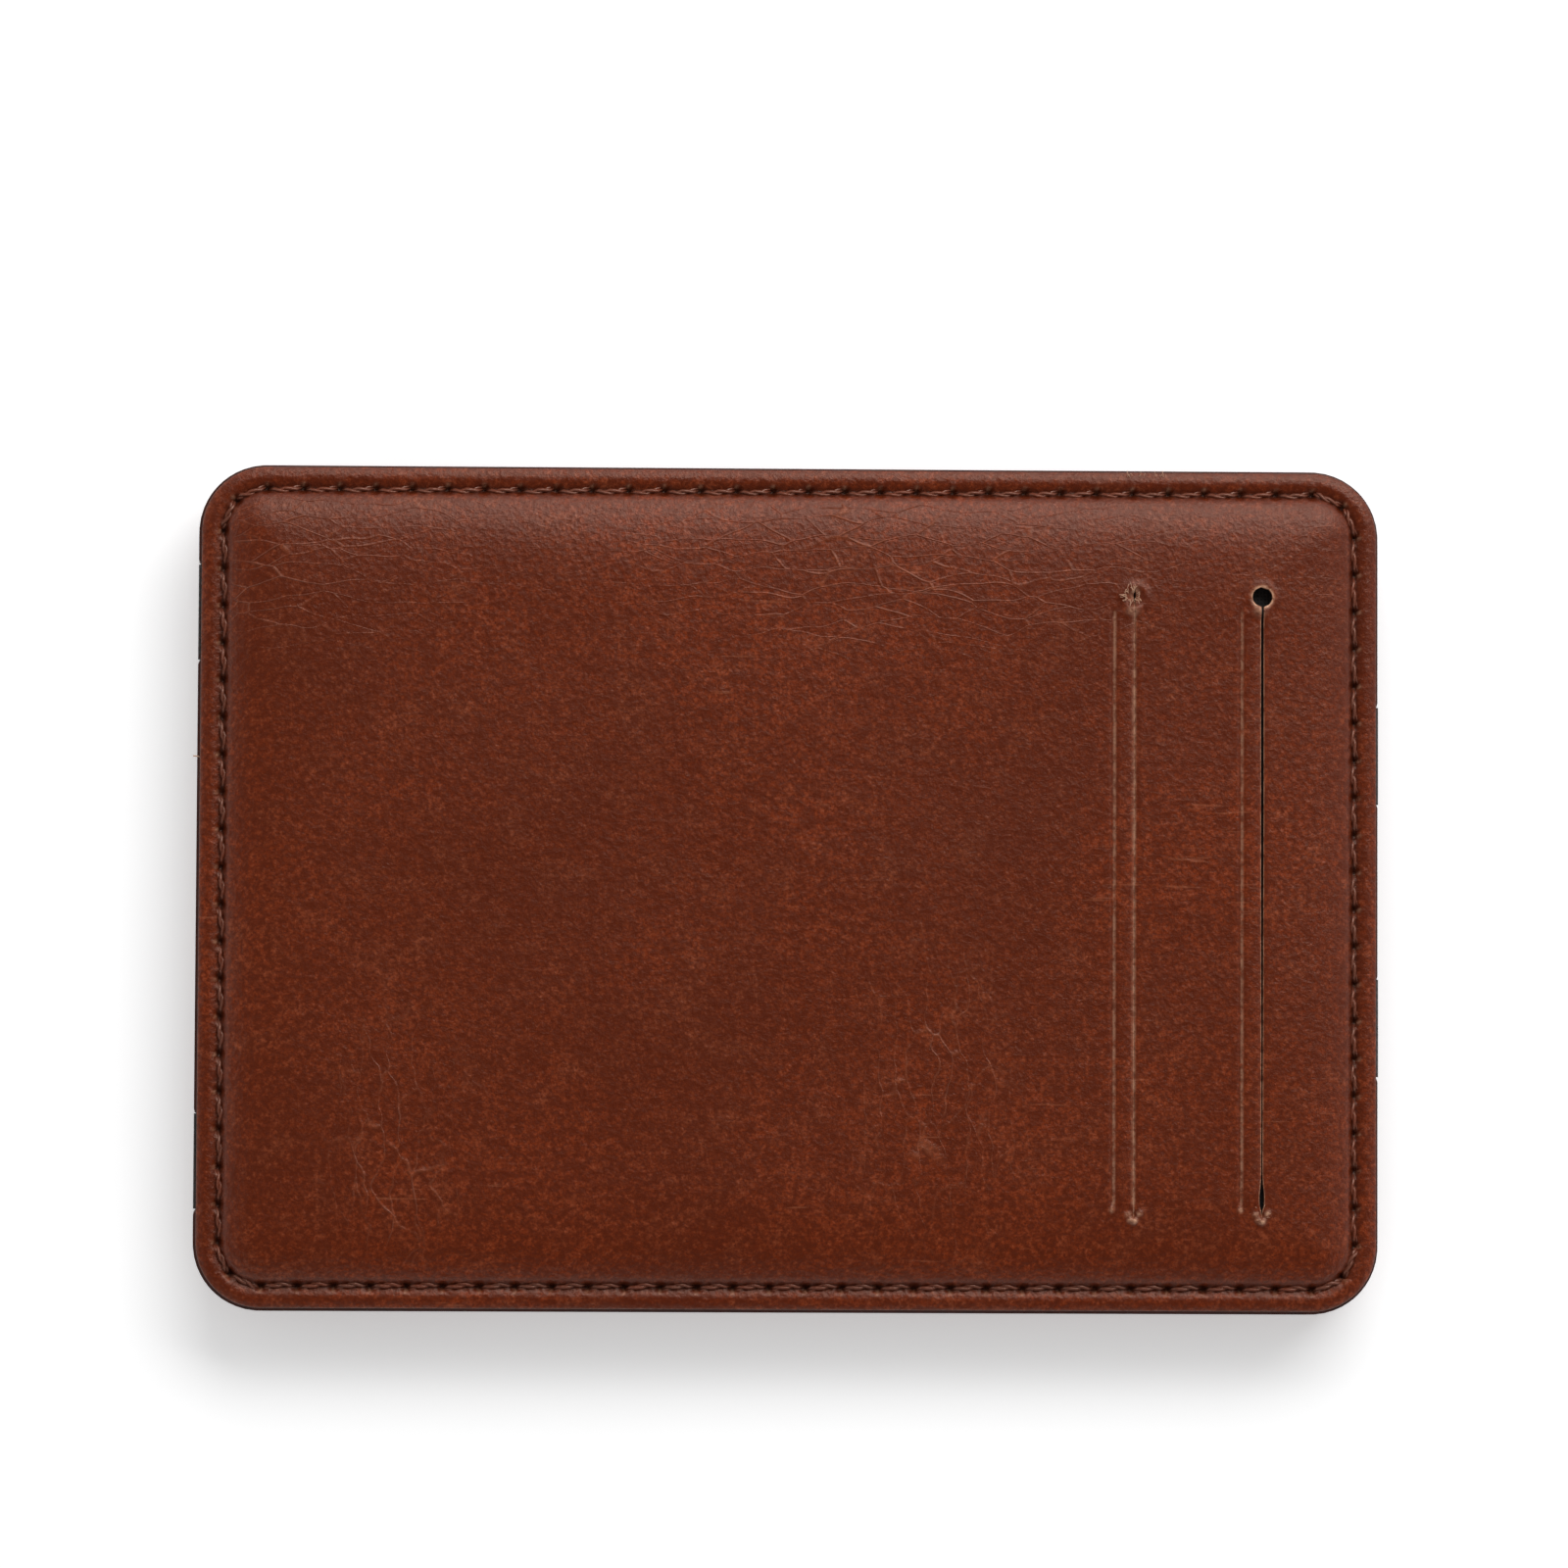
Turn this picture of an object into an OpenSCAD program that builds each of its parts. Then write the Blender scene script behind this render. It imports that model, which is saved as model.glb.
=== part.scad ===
// Two padded leather boards joined by elastic straps, so the pair opens at either short edge.
// Front board faces +Z, back board faces -Z, and each has two card slits in its outer leather.
// The back of the closed wallet lies on Z = 0.

/* [Overall] */
// Long side of the closed wallet, along X
wallet_l = 112; // [110:1:140]
// Short side of the closed wallet, along Y
wallet_w = 80; // [74:1:104]
// Radius of the four corners
corner_r = 6.4; // [5:0.1:12]
// Space between the two boards when closed
note_gap = 2.2; // [2.2:0.1:5]

/* [Leather] */
// Thickness of the outer leather
outer_t = 0.9; // [0.7:0.05:1.6]
// Thickness of the inner leather
inner_t = 0.7; // [0.6:0.05:1.2]
// How far the inner leather stands out past the outer leather
edge_step = 0.25; // [0.1:0.05:0.6]
// Width of the flat seam around the padded field
seam_w = 3.4; // [3.2:0.1:5]
// Width of the steep part of the padded slope
steep_run = 2; // [1:0.1:4]
// Width of the gentle part of the padded slope
gentle_run = 4; // [2:0.1:4.4]

/* [Padding] */
// Thickness of the stiffener card
stiffener_t = 0.8; // [0.5:0.05:1.2]
// Thickness of the foam pad
foam_t = 0.8; // [0.5:0.05:2]
// Thickness of each pocket liner
liner_t = 0.2; // [0.15:0.05:0.4]
// Free depth of each empty pocket
pocket_gap = 0.25; // [0.2:0.05:0.8]

/* [Card pockets] */
// Length of the card that a pocket holds
card_l = 85.6; // [80:0.1:86]
// Width of the card that a pocket holds
card_w = 54; // [50:0.1:54]
// Spare length between the card and the stitches
card_play_l = 0.6; // [0.2:0.1:1.5]
// Spare length of a slit over the card's width
card_play_w = 4.2; // [1:0.1:6]
// Distance between the two slits
slit_pitch = 12.1; // [9:0.1:12.5]
// How far the slits sit from the middle, along Y
slit_shift = -1.3; // [-3:0.1:3]
// Width of a slit
slit_w = 0.3; // [0.2:0.05:0.8]
// Radius of the punched hole that ends each slit
slit_end_r = 0.95; // [0.5:0.05:1.4]
// Distance from a slit to its pressed crease line
crease_offset = 2.05; // [1.5:0.05:3]
// Width of a crease line
crease_w = 0.4; // [0.2:0.05:0.8]
// Depth of a crease line
crease_d = 0.2; // [0.1:0.05:0.4]
// Width of the glue line along each pocket side
rib_w = 2; // [1:0.1:4]

/* [Stitching] */
// Distance from the outline to the stitch line
stitch_inset = 2.4; // [2.2:0.1:3]
// Distance between stitches
stitch_pitch = 3.45; // [2.6:0.05:5]
// Length of one stitch
stitch_l = 2.6; // [1.8:0.05:2.8]
// Radius of the thread on the outer face
thread_r = 0.35; // [0.2:0.01:0.4]
// Radius of the thread on the inner face
inner_thread_r = 0.3; // [0.2:0.01:0.35]
// Slant of each stitch on the straight sides, in degrees
stitch_slant = 5; // [0:1:8]
// Width of the groove that the stitches lie in
groove_w = 1.2; // [1:0.05:1.5]
// Depth of the groove in the outer leather
groove_d = 0.3; // [0.1:0.05:0.5]
// Depth of the groove in the inner leather
inner_groove_d = 0.2; // [0.1:0.05:0.4]

/* [Straps] */
// Width of each elastic strap
strap_w = 9; // [6:0.5:12]
// Thickness of each elastic strap
strap_t = 0.7; // [0.5:0.05:0.8]
// Distance of the parallel straps from the middle, along Y
parallel_y = 26; // [24:0.5:30]
// Distance of the crossed straps' ends from the middle, along Y
crossed_y = 13; // [8:0.5:14]
// Length of the strap's tail sewn into the seam
tail_l = 8; // [5:0.5:14]
// Length of the strap's turn on the inner face
arm_l = 1.7; // [1:0.1:1.7]
// Play around a strap end in the inner leather's notch
notch_play = 0.1; // [0.05:0.05:0.3]
// Distance from the outline to where a strap lies flat and free
strap_start = 3.4; // [3.2:0.1:6]
// Gap where each parallel strap passes from one board's half to the other's
strap_split = 1; // [0.6:0.1:2]
// Air between the crossed straps where one passes over the other
cross_air = 0.1; // [0.05:0.05:0.3]

/* [Hidden] */
half_l = wallet_l / 2;
half_w = wallet_w / 2;
// Heights are measured outwards from the middle plane between the boards.
u_inner = note_gap / 2;
u_seam = u_inner + inner_t;
u_foam = u_seam + stiffener_t;
u_liner_in = u_foam + foam_t;
u_liner_out = u_liner_in + liner_t + pocket_gap;
u_outer = u_liner_out + liner_t + pocket_gap;
u_top = u_outer + outer_t;
u_seam_outer = u_seam + 2 * liner_t;
z_mid = u_top;
// The steep part of every slope takes this share of the rise.
steep_share = 0.65;
pad_play = 0.25;
slit_l = card_w + card_play_w;
slit_1_x = -half_l + stitch_inset + card_play_l + card_l;
slit_2_x = slit_1_x + slit_pitch;
field_inset = seam_w + steep_run + gentle_run;
// The sheet between the pockets ends here, half way from the first slit to the second crease.
divider_x = (slit_1_x + slit_2_x - crease_offset) / 2;
tail_t = strap_t / 2;
corner_steps = 8;
least_r = 0.8;
long_run = wallet_l - 2 * corner_r;
short_run = wallet_w - 2 * corner_r;
stitch_r = corner_r - stitch_inset;
n_long = round(long_run / stitch_pitch);
n_short = round(short_run / stitch_pitch);
n_corner = max(1, round(stitch_r * PI / 2 / stitch_pitch));
overlap = 0.01;

outer_col = [0.42, 0.2, 0.12];
inner_col = [0.36, 0.17, 0.1];
liner_col = [0.1, 0.09, 0.09];
foam_col = [0.75, 0.73, 0.66];
stiff_col = [0.5, 0.46, 0.4];
thread_col = [0.17, 0.08, 0.05];
strap_col = [0.09, 0.07, 0.06];

// One corner's points, from its centre, its radius and its first angle.
function arc_points(cx, cy, r, start) = [
  for (i = [0:corner_steps])
    [cx + r * cos(start + 90 * i / corner_steps), cy + r * sin(start + 90 * i / corner_steps)]
];

// The wallet's rounded outline, moved inwards by an inset.
function outline(inset) =
  let (r = max(corner_r - inset, least_r), x = half_l - inset - r, y = half_w - inset - r)
  concat(
    arc_points(x, y, r, 0),
    arc_points(-x, y, r, 90),
    arc_points(-x, -y, r, 180),
    arc_points(x, -y, r, 270)
  );

// A solid through outlines stacked upwards, each level an [inset, height] pair.
module loft(levels) {
  n = 4 * (corner_steps + 1);
  last = len(levels) - 1;
  points = [for (v = levels) for (p = outline(v[0])) [p[0], p[1], v[1]]];
  floor_face = [for (i = [0:n - 1]) i];
  roof_face = [for (i = [n - 1:-1:0]) last * n + i];
  walls = [
    for (k = [0:last - 1])
      for (i = [0:n - 1])
        [k * n + i, (k + 1) * n + i, (k + 1) * n + (i + 1) % n, k * n + (i + 1) % n]
  ];
  polyhedron(points = points, faces = concat([floor_face], [roof_face], walls));
}

// The space under a sheet, down to a depth below its seam.
module under(seam_z, field_z, depth) {
  rise = field_z - seam_z;
  loft([
    [seam_w, seam_z - depth],
    [seam_w, seam_z],
    [seam_w + steep_run, seam_z + rise * steep_share],
    [field_inset, field_z]
  ]);
}

// A sheet that is flat at the seam and stands up over the padding.
module tray(edge, seam_z, field_z, t) {
  rise = field_z - seam_z;
  difference() {
    loft([
      [edge, seam_z],
      [edge, seam_z + t],
      [seam_w, seam_z + t],
      [seam_w + steep_run, seam_z + t + rise * steep_share],
      [field_inset, field_z + t]
    ]);
    under(seam_z, field_z, t);
  }
}

// A closed band along the stitch line, from one height to another.
module groove(z_low, z_high) {
  difference() {
    loft([[stitch_inset - groove_w / 2, z_low], [stitch_inset - groove_w / 2, z_high]]);
    loft([
      [stitch_inset + groove_w / 2, z_low - 1],
      [stitch_inset + groove_w / 2, z_high + 1]
    ]);
  }
}

// One slit with its punched ends, cut right through the field.
module slit(x) {
  translate([x - slit_w / 2, slit_shift - slit_l / 2, u_outer - 1])
    cube([slit_w, slit_l, outer_t + 2]);
  for (side = [-1, 1]) {
    translate([x, slit_shift + side * slit_l / 2, u_outer - 1])
      cylinder(h = outer_t + 2, r = slit_end_r, $fn = 24);
  }
}

module crease(x) {
  crease_l = slit_l - 2 * slit_end_r;
  translate([x - crease_offset - crease_w / 2, slit_shift - crease_l / 2, u_top - crease_d])
    cube([crease_w, crease_l, crease_d + 1]);
}

module outer_leather() {
  difference() {
    tray(edge_step, u_seam_outer, u_outer, outer_t);
    groove(u_seam_outer + outer_t - groove_d, u_seam_outer + outer_t + 1);
    slit(slit_1_x);
    slit(slit_2_x);
    crease(slit_1_x);
    crease(slit_2_x);
  }
}

// Two glue lines that close a pocket's sides, between its lower sheet and its upper one.
module pocket_ribs(seam_low, field_low, seam_high, field_high, x_end) {
  x_start = -half_l + seam_w + steep_run / 2;
  intersection() {
    difference() {
      under(seam_high, field_high, liner_t);
      under(seam_low - overlap, field_low - overlap, 2 * liner_t);
    }
    for (side = [-1, 1]) {
      translate([x_start, slit_shift + side * (slit_l + rib_w) / 2 - rib_w / 2, 0])
        cube([x_end - x_start, rib_w, 2 * u_top]);
    }
  }
}

// The sheet between the two pockets. It ends between the slits, glued to the outer leather.
module pocket_liner_outer() {
  intersection() {
    tray(edge_step + 0.1, u_seam + liner_t, u_liner_out, liner_t);
    translate([-wallet_l, -wallet_w, 0])
      cube([wallet_l + divider_x, 2 * wallet_w, 2 * u_top]);
  }
  pocket_ribs(u_seam_outer, u_liner_out + liner_t, u_seam_outer, u_outer, slit_1_x - slit_end_r);
}

module pocket_liner_inner() {
  tray(edge_step + 0.1, u_seam, u_liner_in, liner_t);
  pocket_ribs(u_seam + liner_t, u_liner_in + liner_t, u_seam + liner_t, u_liner_out, divider_x);
}

module foam_pad() {
  rise = u_liner_in - u_seam;
  share_z = u_seam + rise * steep_share;
  low = seam_w + steep_run * (u_foam - u_seam) / (rise * steep_share);
  low_inset = share_z > u_foam ? low : seam_w + steep_run;
  if (share_z > u_foam) {
    loft([
      [low_inset + pad_play, u_foam],
      [seam_w + steep_run + pad_play, share_z],
      [field_inset + pad_play, u_liner_in]
    ]);
  } else {
    loft([[field_inset + pad_play, u_foam], [field_inset + pad_play, u_liner_in]]);
  }
}

module stiffener() {
  rise = u_liner_in - u_seam;
  part_way = stiffener_t / (rise * steep_share);
  inset = part_way < 1 ? seam_w + steep_run * part_way : field_inset;
  loft([[inset + pad_play, u_seam], [inset + pad_play, u_foam]]);
}

// One strap end: a tail in the seam, a turn round the edge and a short arm on the inner face.
module strap_end(y, play) {
  wide = strap_w + 2 * play;
  translate([-half_l - play, y - wide / 2, u_seam - tail_t - play])
    cube([tail_l + 2 * play, wide, tail_t + play]);
  translate([-half_l - play, y - wide / 2, u_inner - strap_t])
    cube([strap_t + 2 * play, wide, inner_t + strap_t]);
  translate([-half_l - play, y - wide / 2, u_inner - strap_t])
    cube([arm_l, wide, strap_t]);
}

module strap_ends(play) {
  for (side = [-1, 1]) {
    strap_end(side * parallel_y, play);
    mirror([1, 0, 0]) strap_end(side * crossed_y, play);
  }
}

module inner_leather() {
  difference() {
    loft([[0, u_inner], [0, u_seam]]);
    groove(u_inner - 1, u_inner + inner_groove_d);
    strap_ends(notch_play);
  }
}

// One stitch lying along X, centred, flat side down.
module stitch(r) {
  rotate([0, 90, 0]) rotate([0, 0, 22.5])
    cylinder(h = stitch_l, r = r / cos(22.5), center = true, $fn = 8);
}

// All the stitches of one face, at one height.
module stitch_line(r, z) {
  for (side = [-1, 1]) {
    for (i = [0:n_long - 1]) {
      translate([(i + 0.5) * long_run / n_long - long_run / 2, side * (half_w - stitch_inset), z])
        rotate([0, 0, stitch_slant]) stitch(r);
    }
    for (i = [0:n_short - 1]) {
      translate([side * (half_l - stitch_inset), (i + 0.5) * short_run / n_short - short_run / 2, z])
        rotate([0, 0, 90 + stitch_slant]) stitch(r);
    }
  }
  for (quarter = [0:3]) {
    sx = (quarter == 0 || quarter == 3) ? 1 : -1;
    sy = quarter < 2 ? 1 : -1;
    for (i = [0:n_corner - 1]) {
      translate([sx * long_run / 2, sy * short_run / 2, z])
        rotate([0, 0, quarter * 90 + (i + 0.5) * 90 / n_corner])
          translate([stitch_r, 0, 0]) rotate([0, 0, 90]) stitch(r);
    }
  }
}

module stitching() {
  stitch_line(thread_r, u_seam_outer + outer_t - groove_d + thread_r);
  stitch_line(inner_thread_r, u_inner + inner_groove_d - inner_thread_r);
}

module front_side() {
  translate([0, 0, z_mid]) children();
}

module back_side() {
  translate([0, 0, z_mid]) rotate([0, 180, 0]) children();
}

// One crossed strap, lying flat between the boards on its own side of the middle plane.
module crossed_strap(slope, low) {
  run = wallet_l - 2 * strap_start;
  lean = slope * 2 * crossed_y / wallet_l;
  y_end = lean * run / 2;
  half_band = strap_w / 2 * sqrt(1 + lean * lean);
  translate([0, 0, z_mid + low])
    linear_extrude(height = strap_t)
      polygon([
        [-run / 2, -y_end - half_band],
        [run / 2, y_end - half_band],
        [run / 2, y_end + half_band],
        [-run / 2, -y_end + half_band]
      ]);
}

// Half of a parallel strap, on the left for the front board and on the right for the back.
module parallel_half(y, side) {
  run = half_l - strap_start - strap_split / 2;
  translate([side > 0 ? strap_split / 2 : -strap_split / 2 - run, y - strap_w / 2, z_mid - strap_t / 2])
    cube([run, strap_w, strap_t]);
}

module front_outer_leather() { color(outer_col) front_side() outer_leather(); }
module front_pocket_liner_outer() { color(liner_col) front_side() pocket_liner_outer(); }
module front_pocket_liner_inner() { color(liner_col) front_side() pocket_liner_inner(); }
module front_foam_pad() { color(foam_col) front_side() foam_pad(); }
module front_stiffener() { color(stiff_col) front_side() stiffener(); }
module front_inner_leather() { color(inner_col) front_side() inner_leather(); }
module front_stitching() { color(thread_col) front_side() stitching(); }
module front_strap_ends() { color(strap_col) front_side() strap_ends(0); }
module back_outer_leather() { color(outer_col) back_side() outer_leather(); }
module back_pocket_liner_outer() { color(liner_col) back_side() pocket_liner_outer(); }
module back_pocket_liner_inner() { color(liner_col) back_side() pocket_liner_inner(); }
module back_foam_pad() { color(foam_col) back_side() foam_pad(); }
module back_stiffener() { color(stiff_col) back_side() stiffener(); }
module back_inner_leather() { color(inner_col) back_side() inner_leather(); }
module back_stitching() { color(thread_col) back_side() stitching(); }
module back_strap_ends() { color(strap_col) back_side() strap_ends(0); }
module crossed_strap_over() { color(strap_col) crossed_strap(1, cross_air / 2); }
module crossed_strap_under() { color(strap_col) crossed_strap(-1, -cross_air / 2 - strap_t); }
module parallel_strap_upper_front() { color(strap_col) parallel_half(parallel_y, -1); }
module parallel_strap_lower_front() { color(strap_col) parallel_half(-parallel_y, -1); }
module parallel_strap_upper_back() { color(strap_col) parallel_half(parallel_y, 1); }
module parallel_strap_lower_back() { color(strap_col) parallel_half(-parallel_y, 1); }

front_outer_leather();
front_pocket_liner_outer();
front_pocket_liner_inner();
front_foam_pad();
front_stiffener();
front_inner_leather();
front_stitching();
front_strap_ends();
back_outer_leather();
back_pocket_liner_outer();
back_pocket_liner_inner();
back_foam_pad();
back_stiffener();
back_inner_leather();
back_stitching();
back_strap_ends();
crossed_strap_over();
crossed_strap_under();
parallel_strap_upper_front();
parallel_strap_lower_front();
parallel_strap_upper_back();
parallel_strap_lower_back();
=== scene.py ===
import math
import random

import bmesh
import bpy
import numpy as np
from bpy.props import FloatProperty, FloatVectorProperty, IntProperty, PointerProperty
from mathutils import Matrix, Vector


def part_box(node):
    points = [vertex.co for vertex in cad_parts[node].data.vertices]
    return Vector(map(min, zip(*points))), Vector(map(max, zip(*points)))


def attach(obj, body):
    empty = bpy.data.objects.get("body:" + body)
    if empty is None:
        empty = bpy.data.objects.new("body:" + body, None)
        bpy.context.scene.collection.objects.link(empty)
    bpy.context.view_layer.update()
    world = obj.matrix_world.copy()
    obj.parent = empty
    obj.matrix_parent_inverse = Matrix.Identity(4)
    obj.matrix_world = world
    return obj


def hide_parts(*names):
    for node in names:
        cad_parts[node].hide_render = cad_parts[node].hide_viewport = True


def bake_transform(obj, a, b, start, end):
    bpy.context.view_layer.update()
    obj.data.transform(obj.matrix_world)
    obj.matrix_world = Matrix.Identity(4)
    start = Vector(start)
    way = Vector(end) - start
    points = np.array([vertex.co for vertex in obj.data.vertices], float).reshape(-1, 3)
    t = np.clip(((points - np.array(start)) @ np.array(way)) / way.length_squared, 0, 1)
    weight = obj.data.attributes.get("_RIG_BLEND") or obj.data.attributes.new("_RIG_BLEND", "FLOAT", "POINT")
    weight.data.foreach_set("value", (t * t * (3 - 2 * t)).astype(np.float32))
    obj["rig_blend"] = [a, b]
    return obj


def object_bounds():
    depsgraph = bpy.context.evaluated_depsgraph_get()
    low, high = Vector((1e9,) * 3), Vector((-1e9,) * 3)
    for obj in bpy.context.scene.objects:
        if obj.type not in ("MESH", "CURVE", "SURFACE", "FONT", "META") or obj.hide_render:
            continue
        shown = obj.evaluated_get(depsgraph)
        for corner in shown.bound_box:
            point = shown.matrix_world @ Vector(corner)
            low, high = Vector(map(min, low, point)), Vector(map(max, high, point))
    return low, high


bl_info = {
    "name": "Padded strap wallet",
    "version": (1, 0, 0),
    "blender": (4, 5, 0),
    "location": "3D View > Sidebar > Wallet",
    "description": "Builds a two-board padded leather wallet with stitching, card slits and straps",
    "category": "Object",
}

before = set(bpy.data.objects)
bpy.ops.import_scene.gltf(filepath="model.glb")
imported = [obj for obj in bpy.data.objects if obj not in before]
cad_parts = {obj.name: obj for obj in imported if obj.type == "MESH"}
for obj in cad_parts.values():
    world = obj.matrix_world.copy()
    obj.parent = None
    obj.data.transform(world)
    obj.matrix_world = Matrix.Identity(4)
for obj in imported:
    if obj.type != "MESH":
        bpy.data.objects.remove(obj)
CAD_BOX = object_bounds()

MM = 0.001
SIDES = ("front", "back")
INNER_LOW, INNER_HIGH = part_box("front_inner_leather")
OUTER_LOW, OUTER_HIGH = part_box("front_outer_leather")
BACK_INNER_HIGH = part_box("back_inner_leather")[1]
HALF_L, HALF_W = INNER_HIGH.x, INNER_HIGH.y
Z_MID = (INNER_LOW.z + BACK_INNER_HIGH.z) / 2
# Heights are measured outwards from the middle plane between the boards.
U_INNER = INNER_LOW.z - Z_MID
U_SEAM = INNER_HIGH.z - Z_MID
U_LEATHER = OUTER_LOW.z - Z_MID
U_TOP = OUTER_HIGH.z - Z_MID
LINER_T = 0.2 * MM


# ---------------------------------------------------------------- sizes and colours

def length(name, default, text):
    """A length property that a user may change."""
    return FloatProperty(name=name, description=text, default=default, unit="LENGTH",
                         subtype="DISTANCE", precision=5)


def colour(name, default, text):
    """A colour property that a user may change."""
    return FloatVectorProperty(name=name, description=text, default=default, size=3,
                               subtype="COLOR", min=0.0, max=1.0)


class WalletBoardSizes(bpy.types.PropertyGroup):
    corner: length("Corner radius", 6.4 * MM, "Radius of the board's four corners")
    edge_step: length("Edge step", 0.25 * MM, "How far the inner leather shows past the outer")
    edge_slip: length("Edge slip", 0.05 * MM, "How far the inner leather lies off centre")
    bead: length("Bead radius", 0.5 * MM, "Roundness of the outer leather's edge")
    leather: length("Leather", 0.9 * MM, "Thickness of the outer leather")
    slope: length("Slope", 12.0 * MM, "Width over which the padding rises from the seam")
    cell: length("Cell", 0.8 * MM, "Mesh cell in the middle of the field")


class WalletSlitSizes(bpy.types.PropertyGroup):
    card_l: length("Card length", 85.6 * MM, "Length of the card that a pocket holds")
    card_w: length("Card width", 54.0 * MM, "Width of the card that a pocket holds")
    play_l: length("Length play", 0.6 * MM, "Spare length beyond the card")
    play_w: length("Width play", 4.2 * MM, "Spare length of a slit over the card's width")
    pitch: length("Slit pitch", 12.1 * MM, "Distance between the two slits")
    shift: length("Slit shift", -1.3 * MM, "How far the slits sit from the middle")
    end_r: length("End hole radius", 0.95 * MM, "Radius of a punched slit end")
    crease: length("Crease offset", 2.05 * MM, "Distance from a slit to its pressed line")


class WalletStitchSizes(bpy.types.PropertyGroup):
    inset: length("Stitch inset", 2.4 * MM, "Distance from the outline to the stitch line")
    pitch: length("Stitch pitch", 3.45 * MM, "Distance between stitches")
    span: length("Stitch span", 3.0 * MM, "Length of thread that shows between two holes")
    thread: length("Thread radius", 0.35 * MM, "Radius of the two-ply thread")
    slant: FloatProperty(name="Slant", description="Slant of each stitch against the seam",
                         default=math.radians(9), unit="ROTATION", subtype="ANGLE")
    seed: IntProperty(name="Seed", description="Seed of the small differences", default=7)


class WalletStrapSizes(bpy.types.PropertyGroup):
    width: length("Strap width", 9.0 * MM, "Width of each elastic strap")
    thick: length("Strap thickness", 0.7 * MM, "Thickness of each elastic strap")
    parallel_y: length("Parallel straps", 26.0 * MM,
                       "Distance of the parallel straps from the middle")
    crossed_y: length("Crossed straps", 13.0 * MM, "Distance of the crossed ends from the middle")
    tail: length("Tail", 8.0 * MM, "Length of the tail sewn into the seam")
    hinge_out: length("Turning line", 0.4 * MM,
                      "Distance of the turning line from the board's edge")


class WalletColours(bpy.types.PropertyGroup):
    leather: colour("Leather", (0.205, 0.0272, 0.0036), "Main colour of the outer leather")
    leather_dark: colour("Dark leather", (0.088, 0.0108, 0.0016), "Colour of its darker patches")
    # leather_light is also painted on the wrinkles as their highlight.
    leather_light: colour("Light leather", (0.36, 0.11, 0.05), "Colour of its worn patches")
    # raw is also painted as highlights on puckers, beads and needle-hole rims.
    raw: colour("Raw edge", (0.55, 0.29, 0.18), "Colour of cut leather and its fibres")
    # edge is also painted into the needle holes and the stitch groove as their shade.
    edge: colour("Edge paint", (0.007, 0.0035, 0.0025), "Colour of the painted edge")
    thread: colour("Thread", (0.15, 0.05, 0.03), "Colour of the stitching thread")
    elastic: colour("Elastic", (0.02, 0.014, 0.012), "Colour of the straps")


class WalletStageSizes(bpy.types.PropertyGroup):
    lens: FloatProperty(name="Lens", description="Focal length in millimetres", default=135.0)
    frame_w: length("Frame width", 147.9 * MM, "Width that the camera takes in at the wallet")
    aim_x: length("Aim X", -0.55 * MM, "Where the camera aims, along X")
    aim_y: length("Aim Y", 9.8 * MM, "Where the camera aims, along Y")
    tilt_x: FloatProperty(name="Tilt to the left", description="Lean of the camera towards -X",
                          default=math.radians(1.3), unit="ROTATION", subtype="ANGLE")
    tilt_y: FloatProperty(name="Tilt to the near side", description="Lean of the camera towards -Y",
                          default=math.radians(2.7), unit="ROTATION", subtype="ANGLE")
    roll: FloatProperty(name="Roll", description="Turn of the camera about its own line of sight",
                        default=math.radians(0.27), unit="ROTATION", subtype="ANGLE")
    key: FloatProperty(name="Key light", default=9.0,
                       description="Power of the main soft light in watts")
    top: FloatProperty(name="Top light", default=3.6,
                       description="Power of the overhead light in watts")
    fill: FloatProperty(name="Fill light", default=0.75,
                        description="Strength of the white surround")


SETTINGS = {
    "wallet_board": WalletBoardSizes,
    "wallet_slits": WalletSlitSizes,
    "wallet_stitches": WalletStitchSizes,
    "wallet_straps": WalletStrapSizes,
    "wallet_colours": WalletColours,
    "wallet_stage": WalletStageSizes,
}


# ---------------------------------------------------------------- places and shapes

def smooth(t):
    """0 below 0, 1 above 1 and a smooth step between."""
    t = np.clip(t, 0.0, 1.0)
    return t * t * (3.0 - 2.0 * t)


def bump_at(distance, width):
    """A round bump, 1 at no distance."""
    return np.exp(-((distance / width) ** 2))


def outward(side):
    """The sign of Z that points away from the middle plane on a board's side."""
    return 1.0 if side == "front" else -1.0


def slit_places(slits, stitches):
    """X of the two slits, and the Y range of their ends."""
    first = -HALF_L + stitches.inset + slits.play_l + slits.card_l
    half = (slits.card_w + slits.play_w) / 2
    return (first, first + slits.pitch), slits.shift - half, slits.shift + half


def seam_places(board, stitches, inset):
    """The stitches' centres and angles along the seam, and the needle holes between them."""
    radius = board.corner - inset
    long_run, short_run = 2 * (HALF_L - board.corner), 2 * (HALF_W - board.corner)
    n_long, n_short = round(long_run / stitches.pitch), round(short_run / stitches.pitch)
    n_corner = max(1, round(radius * math.pi / 2 / stitches.pitch))
    centres, holes = [], []
    for turn in range(4):
        along, across = (short_run, long_run) if turn % 2 == 0 else (long_run, short_run)
        count = n_short if turn % 2 == 0 else n_long
        out = across / 2 + radius
        spin = Matrix.Rotation(turn * math.pi / 2, 2)
        for i in range(count):
            at = (i + 0.5) * along / count - along / 2
            centres.append((spin @ Vector((out, at)), (turn + 1) * math.pi / 2, False))
            holes.append(spin @ Vector((out, at - along / count / 2)))
        middle = Vector((across / 2, along / 2))
        for i in range(n_corner):
            a = (i + 0.5) * math.pi / 2 / n_corner
            centres.append((spin @ (middle + radius * Vector((math.cos(a), math.sin(a)))),
                            (turn + 1) * math.pi / 2 + a, True))
            b = i * math.pi / 2 / n_corner
            holes.append(spin @ (middle + radius * Vector((math.cos(b), math.sin(b)))))
    return centres, np.array([tuple(h) for h in holes])


def needle_holes(board, stitches, out=0.12 * MM):
    """The needle holes, which the thread draws a little outwards."""
    return seam_places(board, stitches, stitches.inset - out)[1]


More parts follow.
